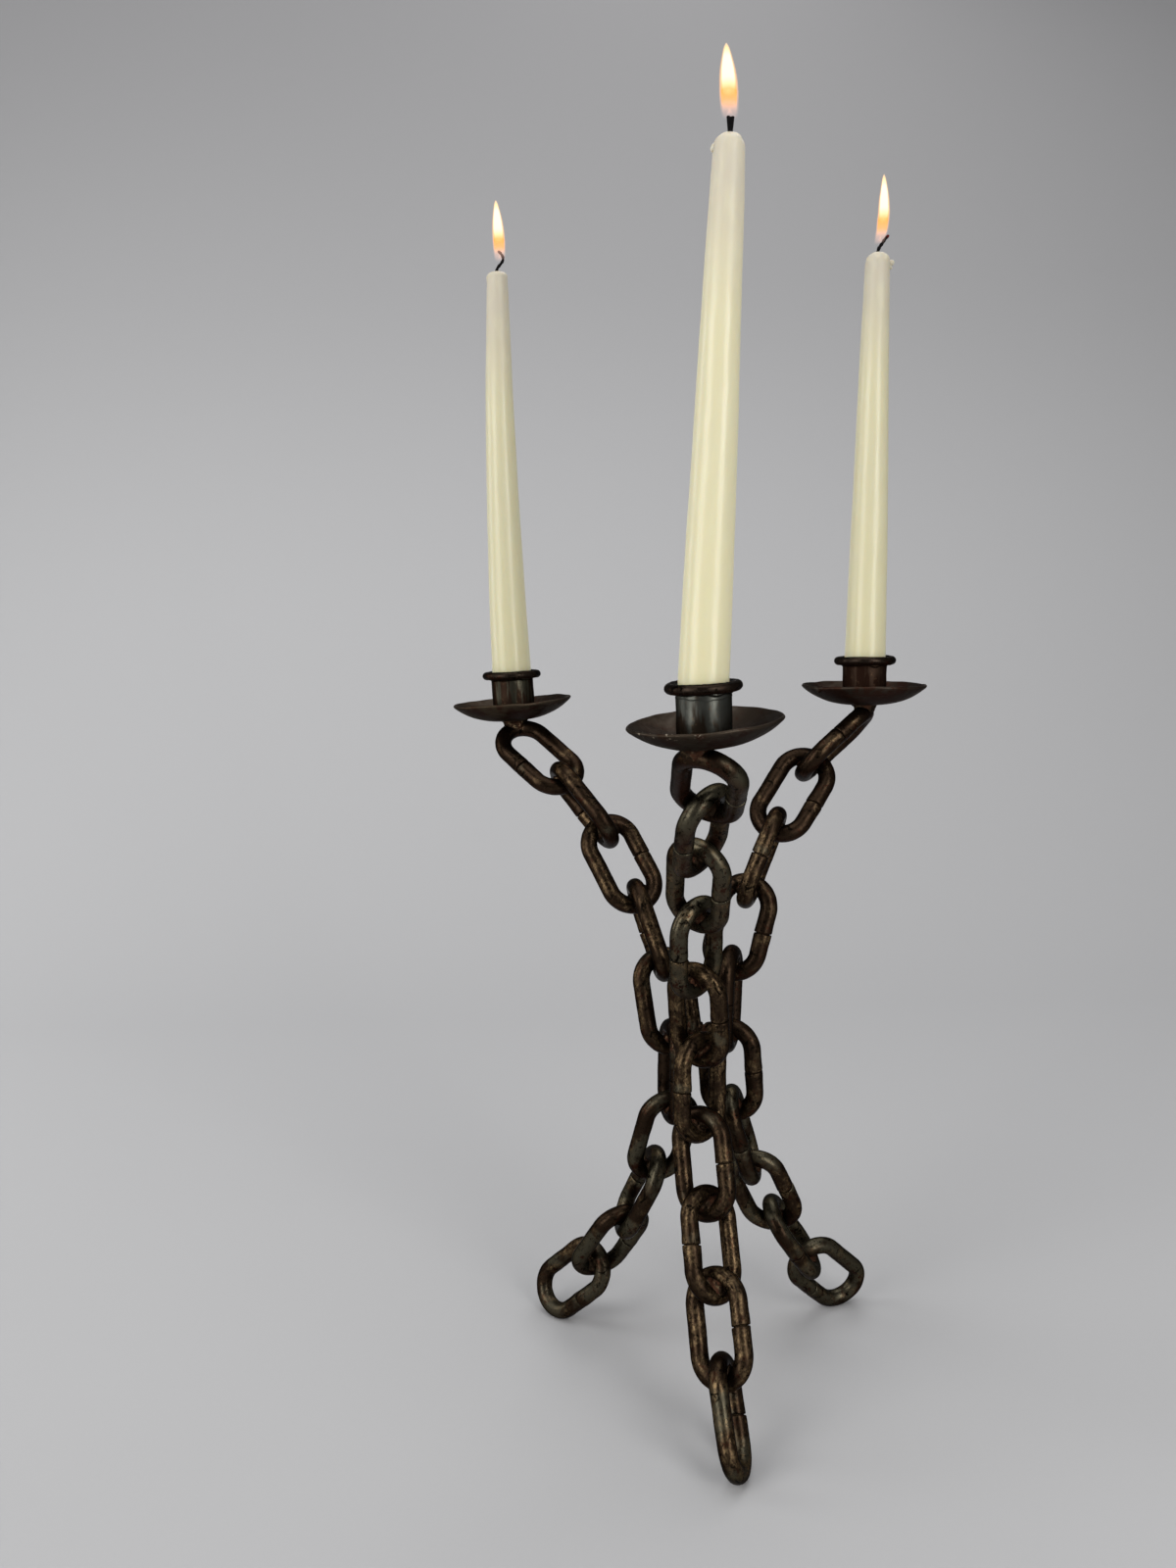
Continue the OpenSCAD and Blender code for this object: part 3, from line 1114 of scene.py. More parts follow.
def weld_piece(
    name: str, nodes: list, blobs: list, finish: bpy.types.Material
) -> bpy.types.Object:
    """Joins weld blobs in one piece.

    Args:
        name: Name of the piece.
        nodes: CAD nodes that it stands for.
        blobs: The blobs.
        finish: Their material.

    Returns:
        The piece, riding on the frame.
    """
    points, faces, start = [], [], 0
    for blob in blobs:
        grown, sides = blob.form()
        points.append(grown)
        faces += [tuple(v + start for v in f) for f in sides]
        start += len(grown)
    piece = mesh_piece(name, np.vstack(points), faces, REST, finish)
    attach(piece, "frame")
    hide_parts(*nodes)
    return piece


# Shares of brass and of olive on each arm's links, from the pan down
LINK_MOODS = {
    Arm.LEFT: (
        (0.2, 0.0), (0.4, 0.0), (0.5, 0.2), (0.5, 0.2), (0.4, 0.4),
        (0.2, 0.2), (0.3, 0.7), (0.3, 0.8), (0.3, 0.9), (0.5, 0.6),
    ),
    Arm.RIGHT: (
        (0.3, 0.0), (0.3, 0.0), (0.6, 0.2), (0.4, 0.1), (0.2, 0.1),
        (0.5, 0.4), (0.3, 0.7), (0.5, 0.6), (0.3, 0.8), (0.3, 1.0),
    ),
    Arm.FRONT: (
        (0.2, 0.6), (0.5, 1.0), (0.5, 0.9), (0.4, 0.9), (0.7, 0.3),
        (0.7, 0.3), (0.5, 0.4), (0.65, 0.1), (0.7, 0.1), (0.55, 0.4),
    ),
}


@dataclass
class ChainArm:
    """Ten links of one arm, and the welds that fix each in the next."""

    arm: Arm
    seed: int
    moods: tuple
    bead_reach: float = 6.3 * MM
    links: list = field(default_factory=list)

    def __post_init__(self) -> None:
        """Finds every link from the CAD."""
        self.links = [
            ChainLink(f"{self.arm.value}_link_{i + 1}", self.seed + i, mood)
            for i, mood in enumerate(self.moods)
        ]

    def contact(self, i: int) -> np.ndarray:
        """Gives the middle between the lower crown of link i and the upper crown of the next."""
        return (self.links[i].crown(False) + self.links[i + 1].crown(True)) / 2

    def build(self, bar: bpy.types.Material, weld: bpy.types.Material) -> None:
        """Builds the links and their welds.

        Args:
            bar: Material of the links.
            weld: Material of the welds.
        """
        for i, link in enumerate(self.links):
            made = link.build(bar, self.links[max(i - 1, 0):i] + self.links[i + 1:i + 2])
            log.info("link %s: %d points", made.name, len(made.data.vertices))
        rng = np.random.default_rng(self.seed + 90)
        blobs = [
            WeldBlob(
                centre=self.contact(i),
                bodies=[self.links[i].distance, self.links[i + 1].distance],
                reach=self.bead_reach * rng.uniform(0.88, 1.06),
                blend=rng.uniform(3.6, 6.0) * MM,
                seed=self.seed + 40 + i,
            )
            for i in range(len(self.links) - 1)
        ]
        name = f"{self.arm.value}_link_welds"
        weld_piece(name + "_beads", [name], blobs, weld)
        log.info("welds %s: %d beads", name, len(blobs))


@dataclass
class WaistWelds:
    """Welds where the three chains pass each other."""

    arms: dict[Arm, ChainArm]
    waist: int = 4
    reach: float = 7.6 * MM
    blend: float = 5.5 * MM
    lumps: float = 0.6 * MM
    out: float = 1.43
    seed: int = 800

    def build(self, weld: bpy.types.Material) -> None:
        """Grows one weld between each two arms.

        Args:
            weld: Material of the welds.
        """
        touch = {arm: self.arms[arm].contact(self.waist) for arm in Arm}
        axis = sum(touch.values()) / 3
        pairs = ((Arm.LEFT, Arm.RIGHT), (Arm.RIGHT, Arm.FRONT), (Arm.FRONT, Arm.LEFT))
        blobs = []
        for k, (a, b) in enumerate(pairs):
            middle = (touch[a] + touch[b]) / 2
            at = np.array([*(axis[:2] + self.out * (middle - axis)[:2]), middle[2]])
            bars = [self.arms[x].links[self.waist + j].distance for x in (a, b) for j in (0, 1)]
            blobs.append(WeldBlob(
                at, bars, self.reach, self.blend, self.seed + k,
                lumps=self.lumps, stretch=(0.9, 0.9, 1.25),
            ))
        weld_piece("waist_weld_mass", ["waist_welds"], blobs, weld)
        log.info("waist welds: %d", len(blobs))


@dataclass
class PanAndCup:
    """Dished drip pan on its weld cone, with the candle's cup and the wire ring round its mouth."""

    arm: Arm
    first: ChainLink
    seed: int
    specks: tuple = ()
    drips: tuple = ()
    rusty: float = 0.0
    olive: float = 0.2
    ridge: float = 0.0
    weld_reach: float = 7.2 * MM
    weld_shift: tuple = (0.0, 0.0, 0.0)
    sink: float = 0.0
    pan_r: float = 34.4 * MM
    floor_r: float = 8.0 * MM
    pan_h: float = 10.2 * MM
    pan_t: float = 1.4 * MM
    cup_r: float = 12.1 * MM
    cup_t: float = 0.8 * MM
    ring_r: float = 14.55 * MM
    ring_wire: float = 2.35 * MM
    ring_low: float = 3.6 * MM
    rim_waves: tuple = ((2, 0.22), (3, 0.16), (5, 0.10), (9, 0.06), (17, 0.04))
    tube_lobes: tuple = ((2, 0.10), (3, 0.05))
    ring_swing: tuple = ((2, 0.10), (3, 0.07), (5, 0.04))
    ring_rise: tuple = ((2, 0.14), (3, 0.10), (7, 0.03))
    speck_at: float = 0.975
    speck_r: float = 1.0 * MM
    drip_r: float = 0.9 * MM
    dent: float = 0.10 * MM
    olive_side: float = 130.0
    ridge_wide: float = 0.28 * MM
    cone_blend: float = 6.5 * MM
    cone_lumps: float = 0.4 * MM
    search: float = 7.0 * MM
    pan_sides: int = 240
    tube_sides: int = 120
    ring_steps: int = 120
    ring_sides: int = 20
    arc_r: float = field(init=False)
    pan: Pose = field(init=False)
    cup: Pose = field(init=False)
    ring: Pose = field(init=False)
    cup_top: float = field(init=False)

    def __post_init__(self) -> None:
        """Finds the places of the pan, the ring and the tube from their CAD nodes."""
        self.arc_r = ((self.pan_r - self.floor_r) ** 2 + self.pan_h ** 2) / (2 * self.pan_h)
        middle = mean_height(self.sheet(0.0) + self.sheet(self.pan_t)[::-1])
        self.pan = self.upright("drip_pan", middle + self.sink)
        self.ring = self.upright("rim_ring", 0.0)
        mouth, z = self.mouth()
        self.cup_top = float((mouth - self.pan.centre) @ z)
        self.cup = Pose(mouth - z * self.cup_top, square_up(z))

    def rim_turn(self) -> float:
        """Gives the angle that the dish's wall turns through, from the floor to the rim."""
        return math.asin((self.pan_r - self.floor_r) / self.arc_r)

    def sheet(self, depth: float) -> Outline:
        """Draws the dish, from the axis over the flat floor to the rim.

        Args:
            depth: How far into its sheet, from below.

        Returns:
            Pairs of radius and height.
        """
        turns = self.rim_turn() * np.linspace(0, 1, 32) ** 0.9
        radius = self.arc_r - depth
        arc = [
            (self.floor_r + radius * math.sin(a), self.arc_r - radius * math.cos(a)) for a in turns
        ]
        return [(0.0, depth), (self.floor_r / 2, depth)] + arc

    def upright(self, kind: str, height: float) -> Pose:
        """Places a turned piece.

        Args:
            kind: Last words of the node's name.
            height: Height of the node's centroid in the piece's own measure.

        Returns:
            A pose with Z along the piece's axis, from its own zero.
        """
        middle, axes = spread(f"{self.arm.value}_{kind}")
        z = axes[:, 0] * math.copysign(1, axes[2, 0])
        return Pose(middle - z * height, square_up(z))

    def mouth(self) -> tuple[np.ndarray, np.ndarray]:
        """Finds the tube's mouth from the highest points of its CAD node.

        Returns:
            The mouth's middle and its axis.
        """
        points, _ = node_mesh(f"{self.arm.value}_cup")
        z = self.ring.axes[:, 2]
        for reach in (1.2 * MM, 0.1 * MM):
            height = points @ z
            top = points[height > height.max() - reach]
            z = np.linalg.svd(top - top.mean(axis=0))[2][2]
            z = z * math.copysign(1, z[2])
        return top.mean(axis=0), z

    def place(self, piece: bpy.types.Object, kind: str, slot: Part) -> None:
        """Makes a piece ride on the frame in place of its node.

        Args:
            piece: The piece.
            kind: Last words of the node's name.
            slot: Its material slot; not used.
        """
        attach(piece, "frame")
        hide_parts(f"{self.arm.value}_{kind}")
        log.info("%s: %d points", piece.name, len(piece.data.vertices))

    def shell(self, points: np.ndarray) -> np.ndarray:
        """Measures how far points are from the lower half of the dish's sheet.

        Args:
            points: Places in the row frame.

        Returns:
            The distances, negative inside the sheet.
        """
        local = self.pan.inwards(points)
        out = np.maximum(np.hypot(local[:, 0], local[:, 1]) - self.floor_r, 0)
        half = self.pan_t * 0.28
        return np.abs(self.arc_r - np.hypot(out, local[:, 2] - self.arc_r) - half) - half

    def build_dish(self, finish: bpy.types.Material) -> None:
        """Spins the dish, with a rounded, slightly uneven rim, and the drips that hang from it.

        Args:
            finish: Material of the pan.
        """
        rim = self.rim_turn()
        under, over = self.sheet(0.0), self.sheet(self.pan_t)
        mid = ((under[-1][0] + over[-1][0]) / 2, (under[-1][1] + over[-1][1]) / 2)
        half = self.pan_t / 2
        lip = []
        for q in np.linspace(-70, 70, 7):
            a, c = math.radians(q), (math.cos(rim), math.sin(rim))
            lip.append((
                mid[0] + half * (0.55 * math.cos(a) * c[0] - math.sin(a) * c[1]) - 0.2 * MM,
                mid[1] + half * (0.55 * math.cos(a) * c[1] + math.sin(a) * c[0]),
            ))
        points, faces = turned(under[:-1] + lip + over[-2::-1], self.pan_sides)
        bearing = np.arctan2(points[:, 1], points[:, 0])
        share = np.hypot(points[:, 0], points[:, 1]) / self.pan_r
        lower = np.arange(len(points)) < (len(under) + 1) * self.pan_sides

        def off(at: float, out: float) -> np.ndarray:
            """Measures along the sheet from a bearing in degrees and a share of the radius."""
            return np.hypot((bearing - math.radians(at)) * self.pan_r, (share - out) * self.pan_r)

        dotted = np.zeros(len(points))
        for at in self.specks:
            dotted += hump(off(at, self.speck_at), self.speck_r)
        for at, out, size in self.drips:
            points[:, 2] -= lower * size * MM * hump(off(at, out), self.drip_r)
        rng = np.random.default_rng(self.seed)
        for wave, size in self.rim_waves:
            phase, other = rng.uniform(0, TURN, 2)
            points[:, 2] += size * MM * np.sin(wave * bearing + phase) * share ** 3
            trim = 0.5 * size * MM / self.pan_r * np.sin(wave * bearing + other)
            points[:, :2] *= (1 + trim * smooth_step(0.8, 1, share))[:, None]
        dents = self.dent * ripple(points * [1, 1, 0], self.seed, 17 * MM)
        points[:, 2] += dents * smooth_step(0.3, 0.6, share)
        towards = np.cos(bearing + math.radians(self.olive_side))
        green = self.olive * smooth_step(-0.3, 0.8, towards)
        dish = mesh_piece(
            f"{self.arm.value}_dished_pan", points, faces, self.pan, finish,
            mood=beside(dotted, self.rusty, green),
        )
        self.place(dish, "drip_pan", Part.PAN)

    def build_tube(self, finish: bpy.types.Material) -> None:
        """Makes the cup's tube, from inside the dish's sheet up to the ring's ragged weld.

        Args:
            finish: Material of the tube.
        """
        foot = self.pan_t * 0.75
        outer, inner, top = self.cup_r, self.cup_r - self.cup_t, self.cup_top
        heights = np.concatenate([
            np.linspace(foot, top - 6.5 * MM, 20), np.linspace(top - 6.1 * MM, top - 0.25 * MM, 24)
        ])
        profile = [(outer, z) for z in heights]
        profile += [(outer - 0.25 * MM, top), (inner + 0.2 * MM, top)]
        profile += [(inner, z) for z in heights[::-1]]
        profile.append(profile[0])
        points, faces = turned(profile, self.tube_sides)
        bearing = np.arctan2(points[:, 1], points[:, 0])
        rng = np.random.default_rng(self.seed + 3)
        swing = lobes(bearing, self.tube_lobes, rng)
        below = top - points[:, 2]
        swing = swing + 0.06 * ripple(points, self.seed + 4, 13 * MM)
        swing = swing * smooth_step(3 * MM, 9 * MM, below)
        flow = ripple(points * [1, 1, 0], self.seed + 5, 7 * MM)
        ragged = self.ring_low + (0.30 + 0.28 * flow) * MM
        outside = np.hypot(points[:, 0], points[:, 1]) > outer - 0.1 * MM
        bead = outside * 0.9 * smooth_step(0.45 * MM, -0.3 * MM, below - ragged)
        swing += bead * smooth_step(1.0 * MM, 2.0 * MM, below)
        wander = 1.9 + 0.35 * np.sin(3.1 * bearing) + 0.2 * np.sin(11 * bearing)
        swing += outside * self.ridge * hump(below - self.ring_low - wander * MM, self.ridge_wide)
        points[:, :2] *= (1 + swing * MM / self.cup_r)[:, None]
        tube = mesh_piece(
            f"{self.arm.value}_cup_tube", points, faces, self.cup, finish,
            way=beside(bearing, below, points[:, 2] / top),
        )
        self.place(tube, "cup", Part.CUP)

    def build_ring(self, finish: bpy.types.Material) -> None:
        """Bends the wire ring, with its butted ends hidden in a low lump.

        Args:
            finish: Material of the wire.
        """
        rng = np.random.default_rng(self.seed + 6)
        turn = np.linspace(0, TURN, self.ring_steps, endpoint=False)
        join = rng.uniform(0, TURN)
        away = np.abs((turn - join + math.pi) % TURN - math.pi) * self.ring_r
        lump = 1 + 0.035 * hump(away, 2.2 * MM) - 0.05 * hump(away, 0.35 * MM)
        wire = self.ring_wire * lump
        swing = lobes(turn, self.ring_swing, rng)
        rise = lobes(turn, self.ring_rise, rng)
        angles = np.linspace(0, TURN, self.ring_sides, endpoint=False)
        points, ways = [], []
        for t, r, s, h in zip(turn, wire, swing, rise):
            radial = self.ring_r + max(s, -0.05) * MM + r * np.cos(angles)
            height = h * MM + 0.97 * r * np.sin(angles)
            points.append(beside(radial * math.cos(t), radial * math.sin(t), height))
            along = t * self.ring_r + self.seed
            ways.append(beside(along, r * np.cos(angles), r * np.sin(angles)))
        points, ways = np.vstack(points), np.vstack(ways)
        points[:, 2] += 0.05 * MM * ripple(points, self.seed + 8, 5 * MM)
        faces = grid_faces(self.ring_steps, self.ring_sides, closed=True)
        # Painted shade on the ring's inner side, next to the cup.
        contact_shade = 0.9 * smooth_step(self.ring_r, self.cup_r, np.hypot(points[:, 0], points[:, 1]))
        ring = mesh_piece(
            f"{self.arm.value}_wire_ring", points, faces, self.ring, finish,
            way=ways, mood=beside(0.25, 0.1, contact_shade),
        )
        self.place(ring, "rim_ring", Part.LINK)

    def build_cone(self, finish: bpy.types.Material) -> None:
        """Grows the weld cone between the first link and the dish.

        Args:
            finish: Material of the weld.
        """
        low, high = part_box(f"{self.arm.value}_pan_weld")
        at = self.weld_heart(np.array(low), np.array(high)) + np.array(self.weld_shift)
        bodies = [self.first.distance, self.shell]
        blob = WeldBlob(
            at, bodies, self.weld_reach, self.cone_blend, self.seed + 11, lumps=self.cone_lumps
        )
        name = f"{self.arm.value}_pan_weld"
        weld_piece(name + "_cone", [name], [blob], finish)
        log.info("welds %s: 1 cone", name)

    def weld_heart(self, low: np.ndarray, high: np.ndarray) -> np.ndarray:
        """Finds the place between dish and bar that is nearest to both.

        Args:
            low: Low corner of the weld's box.
            high: High corner of the weld's box.

        Returns:
            The place, in the row frame.
        """
        middle = (low + high) / 2
        spans = [np.linspace(m - self.search, m + self.search, 29) for m in middle]
        spots = np.stack(np.meshgrid(*spans, indexing="ij"), axis=-1).reshape(-1, 3)
        cost = np.maximum(self.first.distance(spots), self.shell(spots))
        return spots[cost.argmin()]


# A flame's width at shares of its height
FLAME_OUTLINE = (
    (0, 0.80), (0.1, 0.93), (0.3, 1.0), (0.5, 0.95), (0.65, 0.82),
    (0.8, 0.57), (0.92, 0.33), (0.975, 0.19), (1, 0.0),
)


@dataclass
class Candle:
    """Taper candle in its cup, with its wick and flame."""

    arm: Arm
    mouth: Pose
    tall: float
    wick_way: tuple
    flame_way: tuple
    flame_foot: float
    flame_tall: float
    flame_wide: float
    dome: float
    seed: int
    foot_r: float
    wick_r: float
    dome_x: float = 0.0
    nubs: tuple = ()
    top_r: float = 6.5 * MM
    butt_r: float = 8.2 * MM
    pool: tuple = ((0.80, 0.02), (0.55, 0.35), (0.3, 0.5), (0.0, 0.4))
    belly: float = 0.18 * MM
    bow: float = 0.0
    bend: float = 0.0
    root: float = 20.0 * MM
    fray: float = 0.95 * MM
    sides: int = 72
    wick_sides: int = 14
    flame_sides: int = 40

    def taper_r(self, z: np.ndarray) -> np.ndarray:
        """Gives the wax's radius at heights over the cup's mouth."""
        t = np.clip(z / (self.tall - self.dome), 0, 1)
        return self.foot_r + (self.top_r - self.foot_r) * t + self.belly * np.sin(math.pi * t)

    def lean(self, z: np.ndarray) -> np.ndarray:
        """Gives how far the candle has bowed and bent sideways at heights over the cup's mouth."""
        up = np.clip(z / self.tall, 0, 1)
        return self.bow * np.sin(math.pi * up) + self.bend * up**2

    def place(self, piece: bpy.types.Object, slot: Part, node: str | None = None) -> None:
        """Makes a piece ride on this arm's taper.

        Args:
            piece: The piece.
            slot: Its material slot; not used.
            node: Last word of the name of the node that it replaces, if it has one.
        """
        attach(piece, f"{self.arm.value}_taper")
        if node:
            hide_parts(f"{self.arm.value}_{node}")
        log.info("%s: %d points", piece.name, len(piece.data.vertices))

    def build_wax(self, finish: bpy.types.Material, butt_h: float) -> None:
        """Turns the wax, with its whittled butt, melted dome and small pool, and adds its runs.

        Args:
            finish: Material of the wax.
            butt_h: Depth of the butt below the mouth.
        """
        end = self.butt_r
        profile = [(0.0, -butt_h), (end - 0.5 * MM, -butt_h), (end - 0.1 * MM, -butt_h + 0.5 * MM)]
        for t in np.linspace(0.1, 1, 10):
            profile.append((end + (self.foot_r - end) * t - 0.05 * MM, -butt_h * (1 - t)))
        straight = self.tall - self.dome
        profile += [(float(self.taper_r(z)), z) for z in np.linspace(2 * MM, straight, 90)]
        for q in np.linspace(0, 1, 14)[1:]:
            a = q * math.pi / 2
            profile.append((
                self.top_r * (1 - 0.74 * (1 - math.cos(a)) ** 0.9),
                straight + self.dome * math.sin(a) ** 0.9,
            ))
        rim_r, rim_z = profile[-1]
        profile += [(rim_r * part, rim_z - deep * MM) for part, deep in self.pool]
        points, faces = turned(profile, self.sides)
        above = smooth_step(0, 6 * MM, points[:, 2])
        way = points.copy()
        way[:, 2] *= 0.35
        wobble = 0.10 * MM * ripple(way, self.seed, 30 * MM)
        wobble += 0.035 * MM * ripple(way, self.seed + 1, 9 * MM)
        radius = np.maximum(np.hypot(points[:, 0], points[:, 1]), 1e-6)
        melt = smooth_step(self.tall - 7 * MM, self.tall - 3 * MM, points[:, 2])
        wobble += 0.22 * MM * melt * ripple(points, self.seed + 2, 7 * MM)
        swell = above * np.minimum(wobble, 0.3 * MM) / radius * (radius > 3 * MM)
        points[:, :2] *= (1 + swell)[:, None]
        points[:, 0] += self.dome_x * np.clip((points[:, 2] - straight) / self.dome, 0, 1)
        points[:, 0] += self.lean(points[:, 2])
        wax = mesh_piece(f"{self.arm.value}_taper_wax", points, faces, self.mouth, finish)
        self.place(wax, Part.WAX, "candle")
        for k, nub in enumerate(self.nubs):
            self.build_nub(finish, k, *nub)

    def build_nub(
        self,
        finish: bpy.types.Material,
        number: int,
        across: float,
        drop: float,
        long: float,
        size: float,
        tilt: float,
    ) -> None:
        """Adds a bead of wax that has run over the shoulder.

        Args:
            finish: Material of the wax.
            number: Number of the bead on this candle.
            across: Its middle, sideways from the axis, in mm.
            drop: How far its middle is below the top, in mm.
            long: Half its length in mm.
            size: Half its thickness in mm.
            tilt: Fall of its outer end, as a share of its length.
        """
        ways, faces = ball()
        points = ways * np.array([long, size, size]) * MM
        points[:, 2] -= tilt * np.abs(points[:, 0])
        points *= (1 + 0.08 * ripple(points, self.seed + 5 + number, 3 * MM))[:, None]
        points += np.array([across * MM + self.bend, -0.4 * MM, self.tall - drop * MM])
        name = f"{self.arm.value}_wax_run_{number + 1}"
        self.place(mesh_piece(name, points, faces, self.mouth, finish), Part.WAX)

    def wick_path(self) -> np.ndarray:
        """Draws the wick's centre line over the wax, from just inside it.

        Returns:
            Local points.
        """
        bends = np.array([(x * MM, 0.0, z * MM) for x, z in self.wick_way])
        steps = np.concatenate([[0], np.cumsum(np.linalg.norm(np.diff(bends, axis=0), axis=1))])
        fine = np.linspace(0, steps[-1], 40)
        line = evened(np.column_stack([np.interp(fine, steps, x) for x in bends.T]), 8)
        line[:, 0] += self.bend
        line[:, 2] += self.tall
        line[:, 1] += 0.25 * MM * np.sin(np.linspace(0, 3, len(line)))
        return line

    def build_wick(self, finish: bpy.types.Material, frayed: bool) -> None:
        """Sweeps the charred wick, knobbly and thicker where it glows.

        Args:
            finish: Material of the wick.
            frayed: Whether its end has opened in two strands.
        """
        line = self.wick_path()
        high = np.linspace(-self.root, line[0, 2] - 0.4 * MM, 24)
        root = beside(self.lean(high), 0.0, high)
        share = np.linspace(0, 1, len(line))
        knobs = 1 + 0.12 * np.sin(share * 31 + self.seed) + 0.08 * np.sin(share * 67)
        thick = self.wick_r * knobs * (1.10 - 0.15 * share)
        thick[-3:] *= (0.95, 0.85, 0.6)
        rooted = np.concatenate([np.full(len(root), self.wick_r * 0.9), thick])
        strands = [(np.vstack([root, line]), rooted)]
        for side in (-1, 1) if frayed else ():
            apart = side * self.fray * (0.3 + 0.7 * share)
            strand = line + beside(apart, 0.2 * side * MM * share, 0.2 * MM * share)
            radii = np.append(np.linspace(0.8, 1.0, len(line) - 1), 0.7)
            strands.append((strand, self.wick_r * radii))
        points, faces, ways = np.zeros((0, 3)), [], np.zeros((0, 3))
        for path, radii in strands:
            more, sides = swept(path, radii, self.wick_sides)
            faces += [tuple(v + len(points) for v in f) for f in sides]
            points = np.vstack([points, more])
            along = np.append(np.repeat(np.linspace(0, 1, len(path)), self.wick_sides), (0, 1))
            ways = np.vstack([ways, beside(along, along, along)])
        name = f"{self.arm.value}_charred_wick"
        wick = mesh_piece(name, points, faces, self.mouth, finish, way=ways)
        self.place(wick, Part.WICK, "wick")

    def build_flame(
        self, finish: bpy.types.Material, name: str, wide: float, low: float, high: float
    ) -> None:
        """Shapes one layer of the flame: a leaning blade with a pointed tip and a hollow foot.

        Args:
            finish: Material of the layer.
            name: Last word of the piece's name.
            wide: Share of the flame's width.
            low: Share of its height where the layer starts.
            high: Share of its height where the layer ends.
        """
        share = np.linspace(0, 1, 40)
        width = evened(np.interp(share, *zip(*FLAME_OUTLINE)), 3)
        radii = self.flame_wide / 2 * wide * width
        heights = low + (high - low) * share
        roof = heights[0] + 0.10 * np.linspace(1, 0, 6)[:-1] ** 2
        inside = radii[0] * np.linspace(0, 1, 6)[:-1]
        profile = list(zip(np.append(inside, radii).tolist(), np.append(roof, heights).tolist()))
        points, faces = turned(profile, self.flame_sides)
        t = np.clip(points[:, 2], 0, 1)
        points[:, 2] = self.tall + self.flame_foot + self.flame_tall * points[:, 2]
        points[:, 0] += np.interp(t, *zip(*self.flame_way)) * MM + self.bend
        piece = f"{self.arm.value}_flame_{name}"
        flame = mesh_piece(piece, points, faces, self.mouth, finish, way=beside(t, t, t))
        self.place(flame, Part.WICK)


# Name, place, aimed point, width and height, watts and tint of each lamp
LAMPS = (
    ("left_window", (-1.05, -0.85, 0.75), (0, 0, 0.45), (0.7, 1.3), 10.6, (1.0, 0.985, 0.96)),
    ("right_window", (0.75, -1.15, 0.75), (0, 0, 0.45), (0.6, 1.3), 12.2, (1.0, 0.985, 0.96)),
    ("overhead", (0.0, -0.1, 2.2), (0, 0, 0.3), (1.8, 1.8), 18.0, (0.98, 0.99, 1.0)),
    ("side", (-1.3, 0.35, 0.8), (0.0, 1.5, 0.6), (0.9, 1.2), 7.5, (1.0, 1.0, 0.99)),
    ("back", (0.45, 1.10, 1.75), (0, 0, 0.35), (1.3, 0.7), 6.0, (1.0, 0.99, 0.98)),
)


